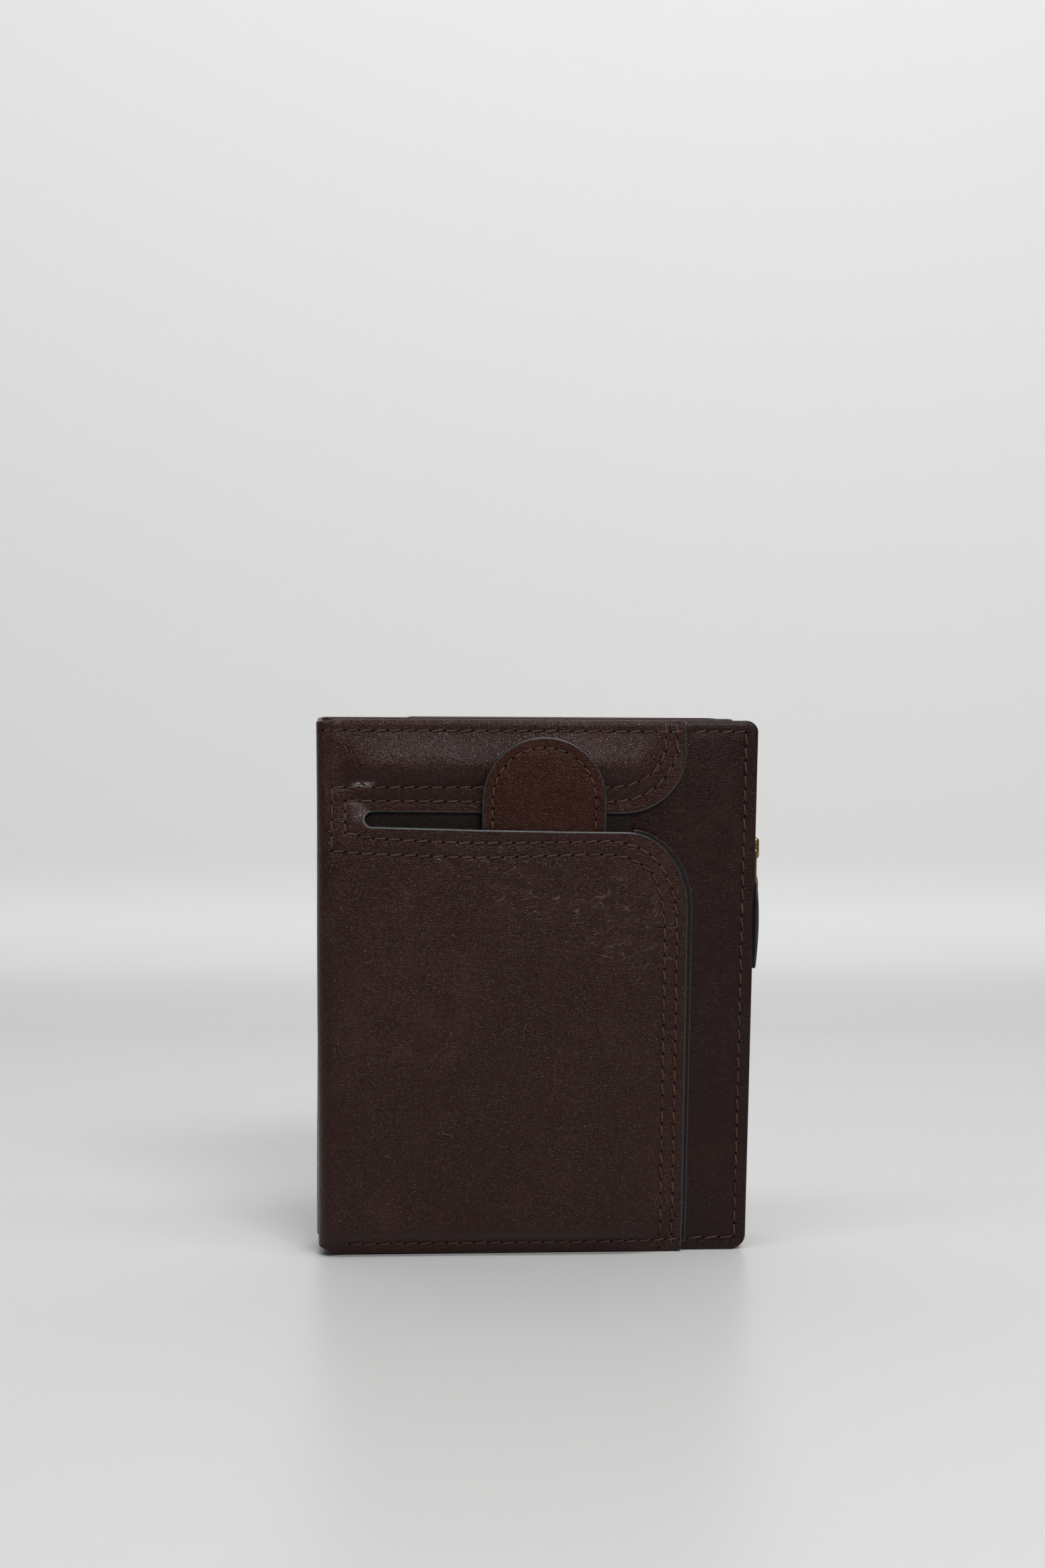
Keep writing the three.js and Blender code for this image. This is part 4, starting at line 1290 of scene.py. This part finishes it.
ZC = 91.2
V, F = join(
    [
        box_part((47.3, 5.8, ZC - 2.8), (48.3, 9.2, ZC + 2.8), 0.35),
        box_part((45.6, 5.72, ZC - 2.6), (47.8, 6.2, ZC + 2.6), 0.2),
        box_part((45.6, 8.8, ZC - 2.6), (47.8, 9.28, ZC + 2.6), 0.2),
        box_part((47.9, 6.5, ZC - 2.8), (50.3, 8.5, ZC + 2.1), 0.95, 5),
    ]
)
q = make_object("zip_slider_metal", np.array(V), fix_winding(V, F), [BRASS], [0] * len(F), np.array(V))
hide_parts("zip_slider")
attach(q, "zip_slider")

ring = []
for (cy, cz), (a0, a1) in zip(((8.5, 90.0), (6.5, 90.0), (6.5, 83.7), (8.5, 83.7)), ((0, 90), (90, 180), (180, 270), (270, 360))):
    for k in range(6):
        a = math.radians(a0 + (a1 - a0) * k / 5)
        ring.append((49.25, cy + 0.6 * math.cos(a), cz + 0.6 * math.sin(a)))
V, F = tube(ring, (0.28, 0.33), 12, True)
q = make_object("pull_link_metal", np.array(V), fix_winding(V, F), [BRASS], [0] * len(F), np.array(V))
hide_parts("pull_link")
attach(q, "zip_puller")


# leather puller: a narrow lens-shaped strap
def puller_half(z):
    t = (84.3 - z) / 20.4
    return 0.95 + 2.0 * math.sin(math.pi * min(max(t, 0), 1) ** 0.9) * (1 - 0.15 * t)


zs = np.arange(65.0, 84.2, 0.6)
pl = [(7.5 + puller_half(z), z) for z in zs] + arc(7.5, 84.1, 0.95, 0.6, 0, 180, 8) + [(7.5 - puller_half(z), z) for z in zs[::-1]] + arc(7.5, 64.9, puller_half(65.0), 1.4, 180, 360, 10)
bulge = lambda s, z: -0.15 + 0.30 * np.clip(1 - ((z - 74.3) / 10.6) ** 2, 0, 1) + 0.15 * S(81.5, 83.2, z)
pul = Surf(plan_right(49.85), bulge)
q = sheet("puller_strap", pul, pl, [L_TAB, EDGE, SUEDE], 0.62, 0.5, rb=0.22, rim=0.3)
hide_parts("puller_leather")
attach(q, "zip_puller")

# ------------------------------------------------------------------ everything that no piece above stands for
BODY_OF = {n: b for b, ns in frame["record"]["behaviour"]["bodies"].items() for n in ns}
# the remaining leather slots take the darkened lining leather, whose colour includes painted shade
FLAT_MATS = {"leather": L_LIN_OBJ_SHADE, "leather_tab": L_LIN_OBJ_SHADE, "leather_lining": L_LIN_OBJ_SHADE, "lining_fabric": FABRIC, "zip_tape": TAPE, "brass": BRASS_OBJ, "film": FILM}
for sp in frame["record"]["subparts"]:
    ob = frame["nodes"].get(sp["node"])
    if ob is not None and not ob.hide_render:
        mat_ = FLAT_MATS[sp["material_slot"]]
        if len(ob.material_slots) == 0:
            ob.data.materials.append(mat_)
        for sl in ob.material_slots:
            sl.material = mat_

# ------------------------------------------------------------------ stage, light and camera
def stage_sheet():
    me = bpy.data.meshes.new("backdrop")
    prof = [(-1.6, 0.0), (0.30, 0.0)]
    r = 0.06
    for k in range(1, 13):
        a = math.radians(90 * k / 12)
        prof.append((0.30 + r * math.sin(a), r - r * math.cos(a)))
    prof.append((0.36, 1.8))
    v, f = [], []
    for y, z in prof:
        v += [(-1.8, y, z), (1.8, y, z)]
    for k in range(len(prof) - 1):
        f.append((2 * k, 2 * k + 1, 2 * k + 3, 2 * k + 2))
    me.from_pydata(v, [], f)
    me.polygons.foreach_set("use_smooth", [True] * len(f))
    o = bpy.data.objects.new("backdrop", me)
    bpy.context.scene.collection.objects.link(o)
    t = Tree("backdrop_white", "object")
    n1 = t.noise(0.012, 2)
    x, y, z = t.xyz()
    wall = t.remap(z, 2.0, 40.0)
    col = t.mix(wall, (0.62, 0.62, 0.615), (0.87, 0.87, 0.865))
    t.set(Base_Color=col, Roughness=t.remap(wall, 0, 1, 0.34, 0.8), Specular_IOR_Level=0.5, Normal=t.bump(n1, 0.02))
    me.materials.append(t.m)


stage_sheet()


def area(name, loc, target, size, size_y, energy, color=(1, 1, 1)):
    l = bpy.data.lights.new(name, "AREA")
    l.shape, l.size, l.size_y, l.energy, l.color = "RECTANGLE", size, size_y, energy, color
    o = bpy.data.objects.new(name, l)
    bpy.context.scene.collection.objects.link(o)
    o.location = loc
    d = Vector(target) - Vector(loc)
    o.rotation_mode = "QUATERNION"
    o.rotation_quaternion = d.to_track_quat("-Z", "Y")
    return o


area("overhead", (0.0, -0.12, 1.10), (0, 0.0, 0.0), 1.2, 0.7, 2.2, (1.0, 0.995, 0.985))
area("front_high", (0.22, -0.72, 0.78), (0, 0, 0.10), 0.44, 0.20, 5.1)
area("wall_wash", (0.0, -0.35, 1.30), (0, 0.36, 0.15), 1.8, 0.25, 8.4)

w = bpy.data.worlds.new("studio")
w.use_nodes = True
w.node_tree.nodes["Background"].inputs[0].default_value = (0.93, 0.96, 1.0, 1)
w.node_tree.nodes["Background"].inputs[1].default_value = 0.08
bpy.context.scene.world = w
vs = bpy.context.scene.view_settings
vs.view_transform, vs.look, vs.exposure, vs.gamma = "Standard", "None", 0.0, 1.0

cam = bpy.data.cameras.new("camera")
cam.lens, cam.sensor_width, cam.sensor_fit = 50.0, 36.0, "AUTO"
cam.clip_start, cam.clip_end = 0.01, 20.0
cam.dof.use_dof = False
co = bpy.data.objects.new("camera", cam)
bpy.context.scene.collection.objects.link(co)
bpy.context.scene.camera = co
yaw, pitch, roll = math.radians(3.932), math.radians(2.687), math.radians(0.376)
fwd = Vector((math.sin(yaw) * math.cos(pitch), math.cos(yaw) * math.cos(pitch), -math.sin(pitch)))
right = Vector((math.cos(yaw), -math.sin(yaw), 0))
up = right.cross(fwd)
r2 = right * math.cos(roll) + up * math.sin(roll)
u2 = up * math.cos(roll) - right * math.sin(roll)
from mathutils import Matrix

m = Matrix((r2, u2, -fwd)).transposed().to_4x4()
m.translation = Vector(to_m((-36.74, -478.36, 128.0)))
co.matrix_world = m
